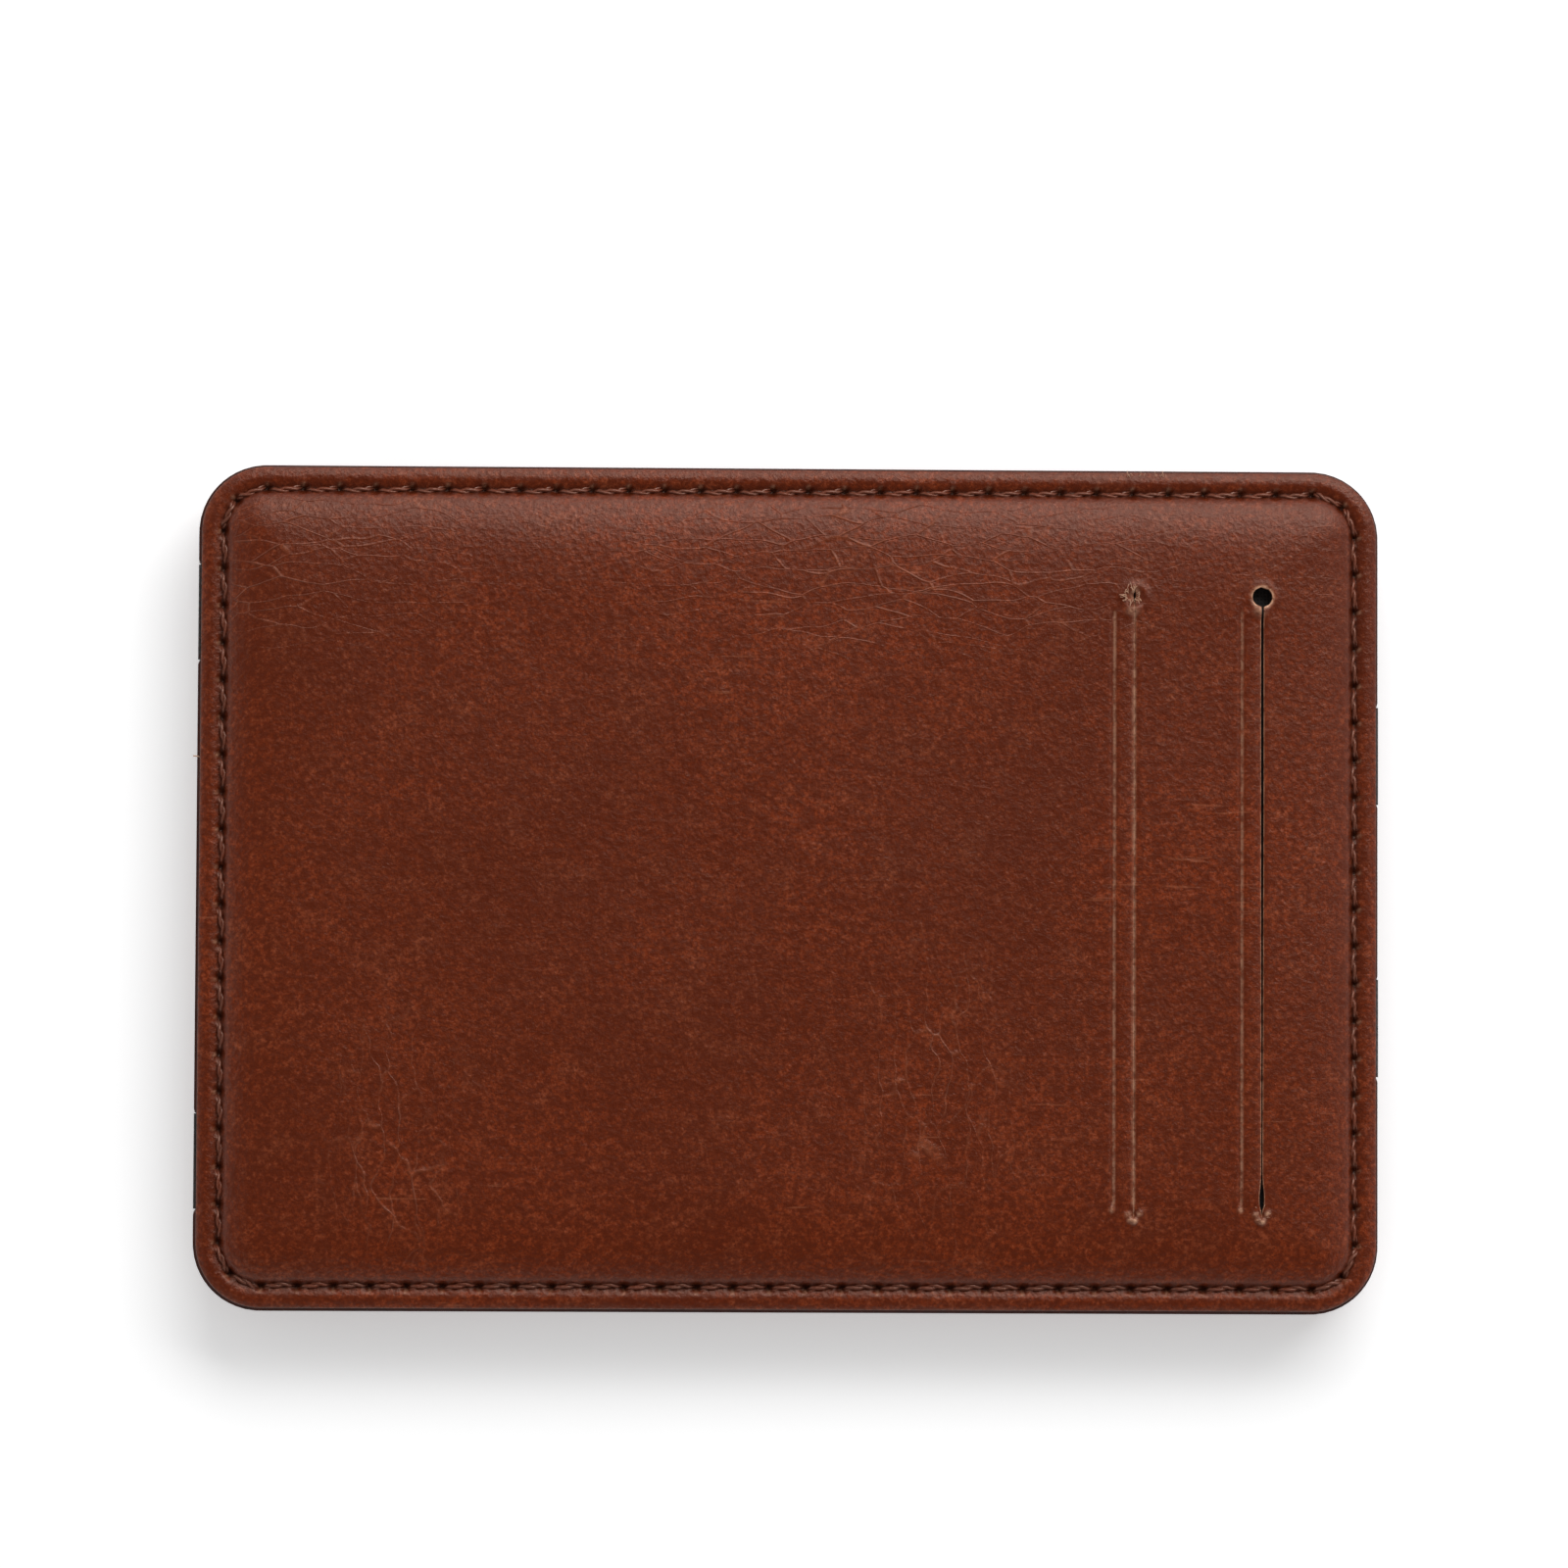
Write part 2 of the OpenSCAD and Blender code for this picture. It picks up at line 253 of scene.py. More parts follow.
class Outline:
    """Maps a plain rectangle onto the board's rounded outline, keeping rows at one depth."""

    def __init__(self, corner, shrink=0.0):
        self.half_l, self.half_w = HALF_L - shrink, HALF_W - shrink
        self.corner = corner - shrink

    def into_corner(self, x, y):
        """How far each point lies past the corner arc's centre, and whether both ways."""
        qx, qy = np.abs(x) - self.half_l + self.corner, np.abs(y) - self.half_w + self.corner
        return qx, qy, (qx > 0) & (qy > 0)

    def depth(self, x, y):
        """Distance of each rectangle point from the outline, once it is rounded."""
        qx, qy, in_corner = self.into_corner(x, y)
        return np.where(in_corner, self.corner - np.maximum(qx, qy),
                        np.minimum(self.half_l - np.abs(x), self.half_w - np.abs(y)))

    def place(self, x, y, depth_to):
        """The rounded points, with each row moved from its depth to depth_to."""
        qx, qy, in_corner = self.into_corner(x, y)
        reach = np.maximum(np.hypot(qx, qy), 1e-9)
        scale = (self.corner - depth_to) / reach
        near_x = self.half_l - np.abs(x) < self.half_w - np.abs(y)
        flat_x = np.where(near_x, self.half_l - depth_to, np.abs(x))
        flat_y = np.where(near_x, np.abs(y), self.half_w - depth_to)
        out_x = np.where(in_corner, self.half_l - self.corner + qx * scale, flat_x)
        out_y = np.where(in_corner, self.half_w - self.corner + qy * scale, flat_y)
        return np.copysign(out_x, x), np.copysign(out_y, y)


def edge_depth(p, bead):
    """Turns distance along the rounded bead into depth from the outline."""
    quarter = bead * math.pi / 2
    offset = (quarter - bead) * (1 - smooth((p - quarter) / (4 * bead)))
    return np.where(p < quarter, bead * (1 - np.cos(np.minimum(p, quarter) / bead)), p - offset)


# ---------------------------------------------------------------- mesh helpers

def new_piece(name, bm, material, smooth_faces=True):
    """A finished object from a bmesh, with its place in its mesh."""
    mesh = bpy.data.meshes.new(name)
    bm.to_mesh(mesh)
    bm.free()
    mesh.shade_smooth() if smooth_faces else mesh.shade_flat()
    mesh.materials.append(material)
    piece = bpy.data.objects.new(name, mesh)
    bpy.context.scene.collection.objects.link(piece)
    return piece


def rectangle(bm, half_l, half_w, cell, knots_x=(), knots_y=()):
    """A flat grid with chosen grid lines moved onto the knots. Returns its vertices."""
    nx, ny = round(2 * half_l / cell), round(2 * half_w / cell)
    made = bmesh.ops.create_grid(bm, x_segments=nx, y_segments=ny, size=1.0)["verts"]
    top = max(v.co.x for v in made)
    for axis, half, count, knots in ((0, half_l, nx, knots_x), (1, half_w, ny, knots_y)):
        lines = [round((k + half) / (2 * half) * count) / count * 2 - 1 for k in knots]
        for v in made:
            v.co[axis] = np.interp(v.co[axis] / top, [-1.0, *lines, 1.0], [-half, *knots, half])
    return made


def refine(bm, wanted, cuts):
    """Subdivides the edges of the faces that are wanted."""
    edges = {e for f in bm.faces if wanted(f.calc_center_median()) for e in f.edges}
    bmesh.ops.subdivide_edges(bm, edges=list(edges), cuts=cuts, use_grid_fill=True)


def unplaced(bm):
    """The vertices that still lie flat in the middle plane, where a new grid starts."""
    return [v for v in bm.verts if abs(v.co.z) < 0.01 * MM]


def columns(verts):
    """X and Y of some vertices, as arrays."""
    co = np.array([v.co[:2] for v in verts])
    return co[:, 0].copy(), co[:, 1].copy()


def move_to(verts, x, y, z):
    """Puts each vertex at its coordinates."""
    for v, a, b, c in zip(verts, x, y, z):
        v.co = (a, b, c)


def sheet_mesh():
    """An empty mesh whose vertices can hold the marks that the materials read."""
    bm = bmesh.new()
    for name in ("needle", "raw", "paint", "across", "upright"):
        bm.verts.layers.float.new(name)
    return bm


def mark(bm, verts, **values):
    """Stores each named value on the vertices."""
    for name, column in values.items():
        layer = bm.verts.layers.float[name]
        for v, value in zip(verts, column):
            v[layer] = float(value)


def sweep(bm, places, radius, sides):
    """A round strand through a list of frames, closed at both ends."""
    ring = bmesh.ops.create_circle(bm, cap_ends=True, segments=sides, radius=radius)["verts"]
    bmesh.ops.transform(bm, matrix=places[0], verts=ring)
    edges = list({e for v in ring for e in v.link_edges})
    made = list(ring)
    for before, after in zip(places, places[1:]):
        out = bmesh.ops.extrude_edge_only(bm, edges=edges)["geom"]
        ring = [g for g in out if isinstance(g, bmesh.types.BMVert)]
        edges = [g for g in out if isinstance(g, bmesh.types.BMEdge)
                 and all(v in ring for v in g.verts)]
        bmesh.ops.transform(bm, matrix=after @ before.inverted(), verts=ring)
        made += ring
    bmesh.ops.contextual_create(bm, geom=edges)
    return made


def frames_along(points):
    """A frame at each point of a path, with Z along the path."""
    places = []
    for i, p in enumerate(points):
        ahead = points[min(i + 1, len(points) - 1)] - points[max(i - 1, 0)]
        turn = ahead.to_track_quat("Z", "Y").to_matrix().to_4x4()
        places.append(Matrix.Translation(p) @ turn)
    return places


# ---------------------------------------------------------------- material helpers

class Nodes:
    """A node material under construction."""

    def __init__(self, name):
        self.material = bpy.data.materials.new(name)
        self.material.use_nodes = True
        self.tree = self.material.node_tree
        self.shader = self.tree.nodes["Principled BSDF"]
        self.object = self.add("ShaderNodeTexCoord").outputs["Object"]

    def add(self, kind, **values):
        """A node with its properties set, then its inputs by name."""
        node = self.tree.nodes.new(kind)
        for key, value in values.items():
            if hasattr(node, key):
                setattr(node, key, value)
            else:
                self.put(node.inputs[key.replace("_", " ").title()], value)
        return node

    def put(self, socket, value):
        """Links a socket to another, or sets its value."""
        if isinstance(value, bpy.types.NodeSocket):
            self.tree.links.new(value, socket)
        else:
            socket.default_value = value

    def mapped(self, scale, turn=0.0, source=None):
        """Coordinates scaled, then turned about Z."""
        node = self.add("ShaderNodeMapping")
        self.put(node.inputs["Vector"], source or self.object)
        node.inputs["Scale"].default_value = scale
        node.inputs["Rotation"].default_value = (0.0, 0.0, turn)
        return node.outputs["Vector"]

    def warped(self, scale, amount):
        """Coordinates pushed about by soft noise, by up to half the amount in metres."""
        noise = self.add("ShaderNodeTexNoise", scale=scale, detail=2.0)
        self.put(noise.inputs["Vector"], self.object)
        shift = self.add("ShaderNodeVectorMath", operation="SCALE")
        self.put(shift.inputs[0], noise.outputs["Color"])
        shift.inputs["Scale"].default_value = amount
        out = self.add("ShaderNodeVectorMath", operation="ADD")
        self.put(out.inputs[0], self.object)
        self.put(out.inputs[1], shift.outputs["Vector"])
        return out.outputs["Vector"]

    def noise(self, scale, detail=3.0, rough=0.5, source=None):
        """Noise from 0 to 1."""
        node = self.add("ShaderNodeTexNoise", scale=scale, detail=detail, roughness=rough)
        self.put(node.inputs["Vector"], source or self.object)
        return node.outputs["Fac"]

    def voronoi(self, scale, feature="F1", source=None):
        """Distance to the cells' points or edges."""
        node = self.add("ShaderNodeTexVoronoi", feature=feature, scale=scale)
        self.put(node.inputs["Vector"], source or self.object)
        return node.outputs["Distance"]

    def ramp(self, value, low, high, out_low=0.0, out_high=1.0):
        """A value mapped from one range to another, clamped."""
        node = self.add("ShaderNodeMapRange")
        for socket, v in zip(node.inputs, (value, low, high, out_low, out_high)):
            self.put(socket, v)
        return node.outputs["Result"]

    def math(self, operation, a, b=0.0):
        """One arithmetic step."""
        node = self.add("ShaderNodeMath", operation=operation)
        self.put(node.inputs[0], a)
        self.put(node.inputs[1], b)
        return node.outputs["Value"]

    def mix(self, factor, a, b):
        """Two colours mixed by a factor."""
        node = self.add("ShaderNodeMix", data_type="RGBA")
        self.put(node.inputs[0], factor)
        self.put(node.inputs[6], self.rgba(a))
        self.put(node.inputs[7], self.rgba(b))
        return node.outputs[2]

    @staticmethod
    def rgba(value):
        """A colour with its alpha, or the socket as it is."""
        return value if isinstance(value, bpy.types.NodeSocket) else (*value[:3], 1.0)

    def attribute(self, name):
        """A value stored on the mesh's vertices."""
        node = self.add("ShaderNodeAttribute", attribute_name=name)
        return node.outputs["Fac"]

    def bump(self, height, distance, strength=1.0, under=None):
        """Relief of a given depth in metres, over any relief under it."""
        node = self.add("ShaderNodeBump", strength=strength, distance=distance)
        self.put(node.inputs["Height"], height)
        if under is not None:
            self.put(node.inputs["Normal"], under)
        return node.outputs["Normal"]

    def finish(self, base, roughness, normal=None, sockets=None):
        """Links the shader and returns the material."""
        self.put(self.shader.inputs["Base Color"], self.rgba(base))
        self.put(self.shader.inputs["Roughness"], roughness)
        if normal is not None:
            self.put(self.shader.inputs["Normal"], normal)
        for key, value in (sockets or {}).items():
            self.shader.inputs[key].default_value = value
        return self.material


WARM_SHINE = (1.0, 0.72, 0.6, 1.0)


def outer_leather_material(c):
    """Grained reddish-brown leather with worn, speckled and wrinkled patches and tan raw edges. The
    wrinkles, slit puckers and needle-hole rims carry painted highlights, and the needle holes and stitch
    groove painted shade.
    """
    n = Nodes("outer_leather")
    warped = n.warped(60.0, 0.009)
    patches = n.noise(48.0, 4.0, 0.55, warped)
    mottle = n.noise(260.0, 4.0, 0.6, warped)
    speckle = n.noise(3500.0, 3.0, 0.75)
    base = n.mix(n.ramp(patches, 0.3, 0.66, 0.25, 1.0), c.leather_dark, c.leather)
    base = n.mix(n.ramp(mottle, 0.5, 0.75, 0.0, 0.22), base, c.leather_light)
    base = n.mix(n.ramp(speckle, 0.36, 0.52, 1.0, 0.0), base, c.leather_dark)
    base = n.mix(n.ramp(speckle, 0.53, 0.68, 0.0, 0.34), base, c.leather_light)
    pits = n.noise(1500.0, 3.0, 0.6)
    base = n.mix(n.ramp(pits, 0.42, 0.58, 0.8, 0.0), base, c.leather_dark)
    grain = n.voronoi(1700.0, source=n.warped(900.0, 0.0006))
    base = n.mix(n.ramp(grain, 0.4, 0.75, 0.0, 0.5), base, c.leather_dark)
    # Fine wrinkles run across under the upper seam, and upright lower down. Besides their bump, the wrinkles
    # are coloured lighter as a painted highlight.
    net = n.voronoi(1.0, "DISTANCE_TO_EDGE",
                    n.mapped((170.0, 620.0, 300.0), 0.35, n.warped(90.0, 0.004)))
    upright = n.voronoi(1.0, "DISTANCE_TO_EDGE",
                        n.mapped((520.0, 150.0, 300.0), 0.2, n.warped(200.0, 0.004)))
    across = n.math("MULTIPLY", n.ramp(net, 0.0, 0.035, 1.0, 0.0), n.attribute("across"))
    along = n.math("MULTIPLY", n.ramp(upright, 0.0, 0.05, 1.0, 0.0), n.attribute("upright"))
    wrinkle_and_highlight = n.math("MULTIPLY", n.math("MAXIMUM", across, along),
                     n.ramp(mottle, 0.4, 0.6, 0.25, 1.0))
    # Painted highlight: the wrinkle mask lightens the colour towards the light leather.
    base = n.mix(n.math("MULTIPLY", wrinkle_and_highlight, 0.32), base, c.leather_light)
    scratch = n.noise(1.0, 2.0, 0.5, n.mapped((150.0, 2400.0, 150.0), 0.6))
    scratch = n.ramp(n.math("MULTIPLY", scratch, n.ramp(patches, 0.4, 0.7, 0.7, 1.05)), 0.66, 0.72)
    base = n.mix(n.math("MULTIPLY", scratch, 0.3), base, c.leather_light)
    # Painted shade: the needle holes and the stitch groove are darkened towards the edge paint's colour.
    base = n.mix(n.math("MULTIPLY", n.attribute("needle"), 0.9), base, c.edge)
    # Tan colour of raw cut edges, which also paints the highlights on puckers, beads and needle-hole rims.
    frayed = n.math("MULTIPLY", n.attribute("raw"),
                    n.ramp(n.noise(1100.0, 3.0, 0.7), 0.4, 0.58, 0.25, 1.0))
    base = n.mix(frayed, base, c.raw)
    base = n.mix(n.attribute("paint"), base, c.edge)
    relief = n.bump(n.noise(300.0, 3.0, 0.5), 0.00012, 0.5)
    relief = n.bump(wrinkle_and_highlight, 0.00008, 0.9, relief)
    relief = n.bump(grain, 0.00007, 0.6, relief)
    relief = n.bump(speckle, 0.00008, 0.8, relief)
    rough = n.ramp(n.attribute("raw"), 0.0, 0.6, n.ramp(speckle, 0.3, 0.7, 0.38, 0.29), 0.22)
    return n.finish(base, rough, relief,
                    {"Specular IOR Level": 0.5, "Specular Tint": WARM_SHINE})


def inner_leather_material(c):
    """Smoother, darker leather with a painted edge, and painted shade in its needle holes."""
    n = Nodes("inner_leather")
    mottle = n.noise(260.0, 5.0, 0.6)
    grain = n.voronoi(1700.0)
    base = n.mix(n.ramp(mottle, 0.3, 0.7), c.leather_dark, c.leather)
    base = n.mix(n.ramp(grain, 0.3, 0.7, 0.0, 0.35), base, c.leather_dark)
    # Painted shade: the needle holes on the inner face are darkened.
    base = n.mix(n.math("MULTIPLY", n.attribute("needle"), 0.8), base, c.edge)
    paint = n.attribute("paint")
    base = n.mix(paint, base, n.mix(n.noise(900.0, 3.0), c.edge, c.leather_dark))
    relief = n.bump(n.noise(400.0, 3.0), 0.00008, 0.5)
    relief = n.bump(grain, 0.00005, 0.6, relief)
    rough = n.ramp(paint, 0.0, 1.0, 0.5, 0.4)
    return n.finish(base, rough, relief, {"Specular IOR Level": 0.25})


def lining_material():
    """Thin black woven lining."""
    n = Nodes("lining")
    warp = n.add("ShaderNodeTexWave", bands_direction="X", scale=900.0, distortion=0.4)
    weft = n.add("ShaderNodeTexWave", bands_direction="Y", scale=900.0, distortion=0.4)
    for node in (warp, weft):
        n.put(node.inputs["Vector"], n.object)
    weave = n.math("MAXIMUM", warp.outputs["Fac"], weft.outputs["Fac"])
    base = n.mix(weave, (0.004, 0.0035, 0.0035), (0.013, 0.011, 0.011))
    base = n.mix(n.ramp(n.noise(600.0), 0.4, 0.7, 0.0, 0.4), base, (0.02, 0.017, 0.016))
    return n.finish(base, 0.85, n.bump(weave, 0.00004, 0.8))


def thread_material(c):
    """Waxed two-ply thread with fine fibres."""
    n = Nodes("thread")
    fibres = n.noise(1.0, 3.0, 0.6, n.mapped((5200.0, 5200.0, 9000.0), 0.6))
    tone = n.noise(300.0, 2.0)
    base = n.mix(n.ramp(fibres, 0.2, 0.6, 0.35, 1.0), c.leather_dark, c.thread)
    base = n.mix(n.ramp(tone, 0.4, 0.75, 0.0, 0.4), base, c.leather)
    return n.finish(base, n.ramp(fibres, 0.2, 0.8, 0.26, 0.42), n.bump(fibres, 0.00003, 0.6),
                    {"Specular IOR Level": 0.8, "Specular Tint": (1.0, 0.74, 0.62, 1.0)})


def elastic_material(c):
    """Woven elastic: close ribs across the strap and cords along it, on the strap's own map."""
    n = Nodes("elastic")
    uv = n.add("ShaderNodeUVMap", uv_map="Strap").outputs["UV"]
    ribs = n.add("ShaderNodeTexWave", bands_direction="X", scale=0.33, distortion=0.5)
    cords = n.add("ShaderNodeTexWave", bands_direction="Y", scale=0.42, distortion=0.2)
    for node in (ribs, cords):
        n.put(node.inputs["Vector"], n.mapped((1000.0, 1000.0, 1.0), 0.0, uv))
    weave = n.math("MULTIPLY", ribs.outputs["Fac"], cords.outputs["Fac"])
    fuzz = n.noise(1800.0, 4.0, 0.6)
    base = n.mix(weave, c.edge, c.elastic)
    base = n.mix(n.ramp(fuzz, 0.5, 0.75, 0.0, 0.5), base, c.leather_dark)
    relief = n.bump(weave, 0.00016, 0.9)
    return n.finish(base, n.ramp(fuzz, 0.3, 0.7, 0.7, 0.9), n.bump(fuzz, 0.00004, 0.5, relief),
                    {"Sheen Weight": 0.12, "Sheen Roughness": 0.5, "Specular IOR Level": 0.25})


def fibre_material(c):
    """Pale leather fibres and loose thread ends."""
    n = Nodes("fibres")
    base = n.mix(n.noise(3000.0, 2.0), c.raw, (0.62, 0.4, 0.27))
    return n.finish(base, 0.75, n.bump(n.noise(9000.0), 0.00001, 0.5))


def foam_material():
    """Closed-cell foam."""
    n = Nodes("foam")
    cells = n.voronoi(2600.0)
    base = n.mix(n.ramp(cells, 0.1, 0.6), (0.42, 0.4, 0.34), (0.72, 0.7, 0.62))
    return n.finish(base, 0.85, n.bump(cells, 0.00012, 0.8))


def board_material():
    """Pressed grey-brown stiffener board."""
    n = Nodes("stiffener")
    fibres = n.noise(1.0, 6.0, 0.7, n.mapped((500.0, 1400.0, 500.0), 0.4))
    base = n.mix(n.ramp(fibres, 0.3, 0.7), (0.26, 0.22, 0.17), (0.46, 0.4, 0.32))
    return n.finish(base, 0.8, n.bump(fibres, 0.00005, 0.6))


def floor_material():
    """Plain pale paper floor."""
    n = Nodes("floor")
    soft = n.noise(9.0, 3.0, 0.5)
    base = n.mix(soft, (0.86, 0.86, 0.865), (0.9, 0.9, 0.9))
    return n.finish(base, 0.8, n.bump(n.noise(900.0, 3.0), 0.00002, 0.3),
                    {"Emission Color": (1.0, 1.0, 1.0, 1.0), "Emission Strength": 0.33,
                     "Specular IOR Level": 0.1})


# ---------------------------------------------------------------- outer leather

ROLL_END = 0.9 * MM        # depth at which the rolled edge starts to fall to the groove
GROOVE_DEPTH = 0.45 * MM
GROOVE_WIDTH = 0.45 * MM
EDGE_DROP = 0.5 * MM       # how far the rolled edge falls at the outline
EDGE_WIDTH = 1.3 * MM
LEAST_LIFT = 0.05 * MM     # the outer leather stays this far above its lower edge
RIM_OUT = 0.52 * MM        # how far outwards the leather is pushed up beside a needle hole
CROWN_DROP = 0.17 * MM     # how far the field falls from its middle to its edges
CHUNK = 20000              # points measured at a time
ON_LINE = 1e-6             # a vertex this near a line lies on it
SLIT_REACH = 2.4 * MM      # width beside a slit that gives way as it opens
LOW_END = 0.5 * MM         # length at a slit's low end that stays shut


def distance_to(x, y, places):
    """Distance of each point from the nearest of the places, a few points at a time."""
    away = np.empty_like(x)
    for start in range(0, len(x), CHUNK):
        part = slice(start, start + CHUNK)
        away[part] = np.min(np.hypot(x[part, None] - places[None, :, 0],
                                     y[part, None] - places[None, :, 1]), axis=1)
    return away


def field_height(x, y, depth, board, stitches, holes):
    """Height of the padded face: bead, stitch groove with needle dimples, slope and crown.
    Returns it with the painted shade in the needle holes and along the groove, and how near each point is to
    the leather pushed up beside a hole, which gets a painted highlight."""
    flange = U_LEATHER + board.leather
    rise = 1 - (1 - np.clip((depth - stitches.inset * 0.9) / board.slope, 0, 1)) ** 3.4
    u = flange + (U_TOP - flange) * rise
    round_off = np.clip(board.bead - depth, 0, board.bead)
    u -= board.bead - np.sqrt(board.bead ** 2 - round_off ** 2)
    # The edge is a soft roll that falls to the groove; the padding rises beyond it.
    fall = np.clip((depth - ROLL_END) / (stitches.inset - ROLL_END), 0, 1) ** 2.4
    rise_side = bump_at(np.maximum(depth - stitches.inset, 0), GROOVE_WIDTH)
    u -= GROOVE_DEPTH * np.where(depth < stitches.inset, fall, rise_side)
    u -= EDGE_DROP * np.clip(1 - depth / EDGE_WIDTH, 0, 1) ** 1.4
    u = np.maximum(u, U_LEATHER + LEAST_LIFT)
    near = distance_to(x, y, holes)
    rim = distance_to(x, y, needle_holes(board, stitches, RIM_OUT))
    # Painted shade in the needle holes and along the stitch groove, kept as a mark for the material.
    hole_shade = np.maximum(bump_at(near, 0.3 * MM), 0.85 * bump_at(depth - stitches.inset, 0.36 * MM))
    u -= 0.5 * MM * bump_at(near, 0.36 * MM) + 0.14 * MM * bump_at(near, 0.95 * MM)
    u += 0.08 * MM * bump_at(near - 0.75 * MM, 0.25 * MM) + 0.2 * MM * bump_at(rim, 0.24 * MM)
    # The padding is never quite level.
    field = smooth((depth - 4 * MM) / (6 * MM))
    u += field * MM * (0.05 * np.sin(x * 190 + 1.1) * np.sin(y * 150 + 0.4)
                       + 0.03 * np.sin(x * 90 - y * 260) - 0.05)
    u -= CROWN_DROP * ((x / HALF_L) ** 2 + (y / HALF_W) ** 2) * field
    return u, hole_shade, bump_at(rim, 0.17 * MM)


def slit_half_width(index, y, low, high, end_r):
    """Half the opening of a slit at each Y. The first lies nearly shut, and the second gapes, most
    near its low end and at its top hole."""
    inside = (y > low + LOW_END) & (y < high)
    if index == 0:
        shut = 0.02 * MM * smooth((high - y) / (1.5 * MM)) * smooth((y - low) / (2 * MM))
        return np.where(inside, shut + 0.1 * MM * bump_at(y - high + 0.9 * MM, 0.6 * MM), 0.0)
    gape = (0.11 * MM + 0.035 * MM * np.sin(y * 75 + 0.4)
            + 0.17 * MM * bump_at(y - low - 2.3 * MM, 1.3 * MM))
    gape = gape * smooth((y - low - LOW_END) / (1.2 * MM))
    hole = np.sqrt(np.clip(end_r ** 2 - (y - high + end_r) ** 2, 0, None))
    return np.where(inside, np.maximum(gape, hole), 0.0)


def slit_relief(x, y, xs, index, low, high, slits):
    """Heights of the pressed line beside a slit, the welt between the two and the puckered ends.
    Returns them with how much lighter the leather is coloured: a line beside the pressed line and at its
    end, the slit's raw cut edge, its frayed top and punched hole, and painted highlights on the puckered
    beads and on the bead below the top end."""
    top = high - 2 * slits.end_r
    along = smooth((y - low - 1.4 * MM) / (0.5 * MM)) * smooth((top - 0.2 * MM - y) / (0.5 * MM))
    line = x - xs + slits.crease
    u = -0.22 * MM * along * bump_at(line, 0.12 * MM)
    u += 0.09 * MM * along * bump_at(x - xs + 0.5 * slits.crease, 0.55 * slits.crease)
    u -= 0.12 * MM * along * bump_at(x - xs, 0.3 * MM)
    light = 0.6 * along * bump_at(line - 0.1 * MM, 0.09 * MM)
    raw_edge_and_glint = 0.7 if index == 0 else 0.5
    light = np.maximum(light, raw_edge_and_glint * along * bump_at(x - xs + 0.03 * MM, 0.1 * MM))
    crease_end = np.hypot(line, (y - low - 1.2 * MM) * 0.8)
    light = np.maximum(light, 1.5 * bump_at(crease_end, 0.16 * MM))
    u += 0.12 * MM * bump_at(crease_end, 0.25 * MM)
    # Round the low end the leather is gathered into small beads about a pit, each with a painted highlight.
    for dx, dy, size in ((-0.55, 0.35, 0.9), (0.5, 0.45, 0.7),
                         (0.05, -0.25, 1.0), (-0.3, -0.1, 0.6)):
        away = np.hypot(x - xs - dx * MM, y - low - 0.4 * MM - dy * MM)
        u += 0.34 * MM * size * bump_at(away, 0.3 * MM)
        light = np.maximum(light, 1.7 * size * bump_at(away, 0.2 * MM))
    u -= 0.3 * MM * bump_at(np.hypot(x - xs, y - low - 0.75 * MM), 0.3 * MM)
    bead = np.hypot(x - xs + 0.25 * MM, (y - top + 0.45 * MM) * 1.2)
    u += 0.5 * MM * bump_at(bead, 0.65 * MM)
    # Painted highlight on the bead below the top end.
    light = np.maximum(light, 0.7 * bump_at(bead, 0.45 * MM))
    if index == 0:
        pit = np.hypot(x - xs, y - top - 0.9 * MM)
        u -= 0.42 * MM * bump_at(pit, 0.5 * MM)
        u += 0.16 * MM * bump_at(pit - 1.1 * MM, 0.35 * MM)
        frayed = np.hypot((x - xs) * 1.6, y - top - 1.1 * MM)
        light = np.maximum(light, 1.4 * bump_at(frayed, 0.5 * MM))
    else:
        rim = np.hypot(x - xs, y - top - slits.end_r) - slits.end_r
        u += 0.1 * MM * bump_at(rim - 0.3 * MM, 0.3 * MM)
        light = np.maximum(light, 1.4 * bump_at(rim, 0.16 * MM))
    return u, light


def gather(x, centres, reach=0.8 * MM, power=1.8):
    """Draws nearby grid lines in towards each centre, so that a fine line comes out sharp."""
    for centre in centres:
        away = x - centre
        close = np.abs(away) < reach
        x = np.where(close, centre + np.sign(away) * reach * (np.abs(away) / reach) ** power, x)
    return x


def open_slits(x, y, verts, places, low, high, end_r):
    """Parts the two sides of each slit. Returns the new X, and 1 for each vertex on a cut edge."""
    raw = np.zeros_like(x)
    for index, xs in enumerate(places):
        half = slit_half_width(index, y, low, high, end_r)
        away = x - xs
        for i in np.flatnonzero(np.abs(away) < ON_LINE):
            faces = verts[i].link_faces
            if faces and half[i] > 0:
                middle = sum(f.calc_center_median().x for f in faces) / len(faces)
                away[i] = 1e-7 * math.copysign(1.0, middle - xs)
                raw[i] = 1.0
        near = np.abs(away) < SLIT_REACH
        x = np.where(near, xs + np.sign(away) * (half + np.abs(away) * (1 - half / SLIT_REACH)), x)
    return x, raw


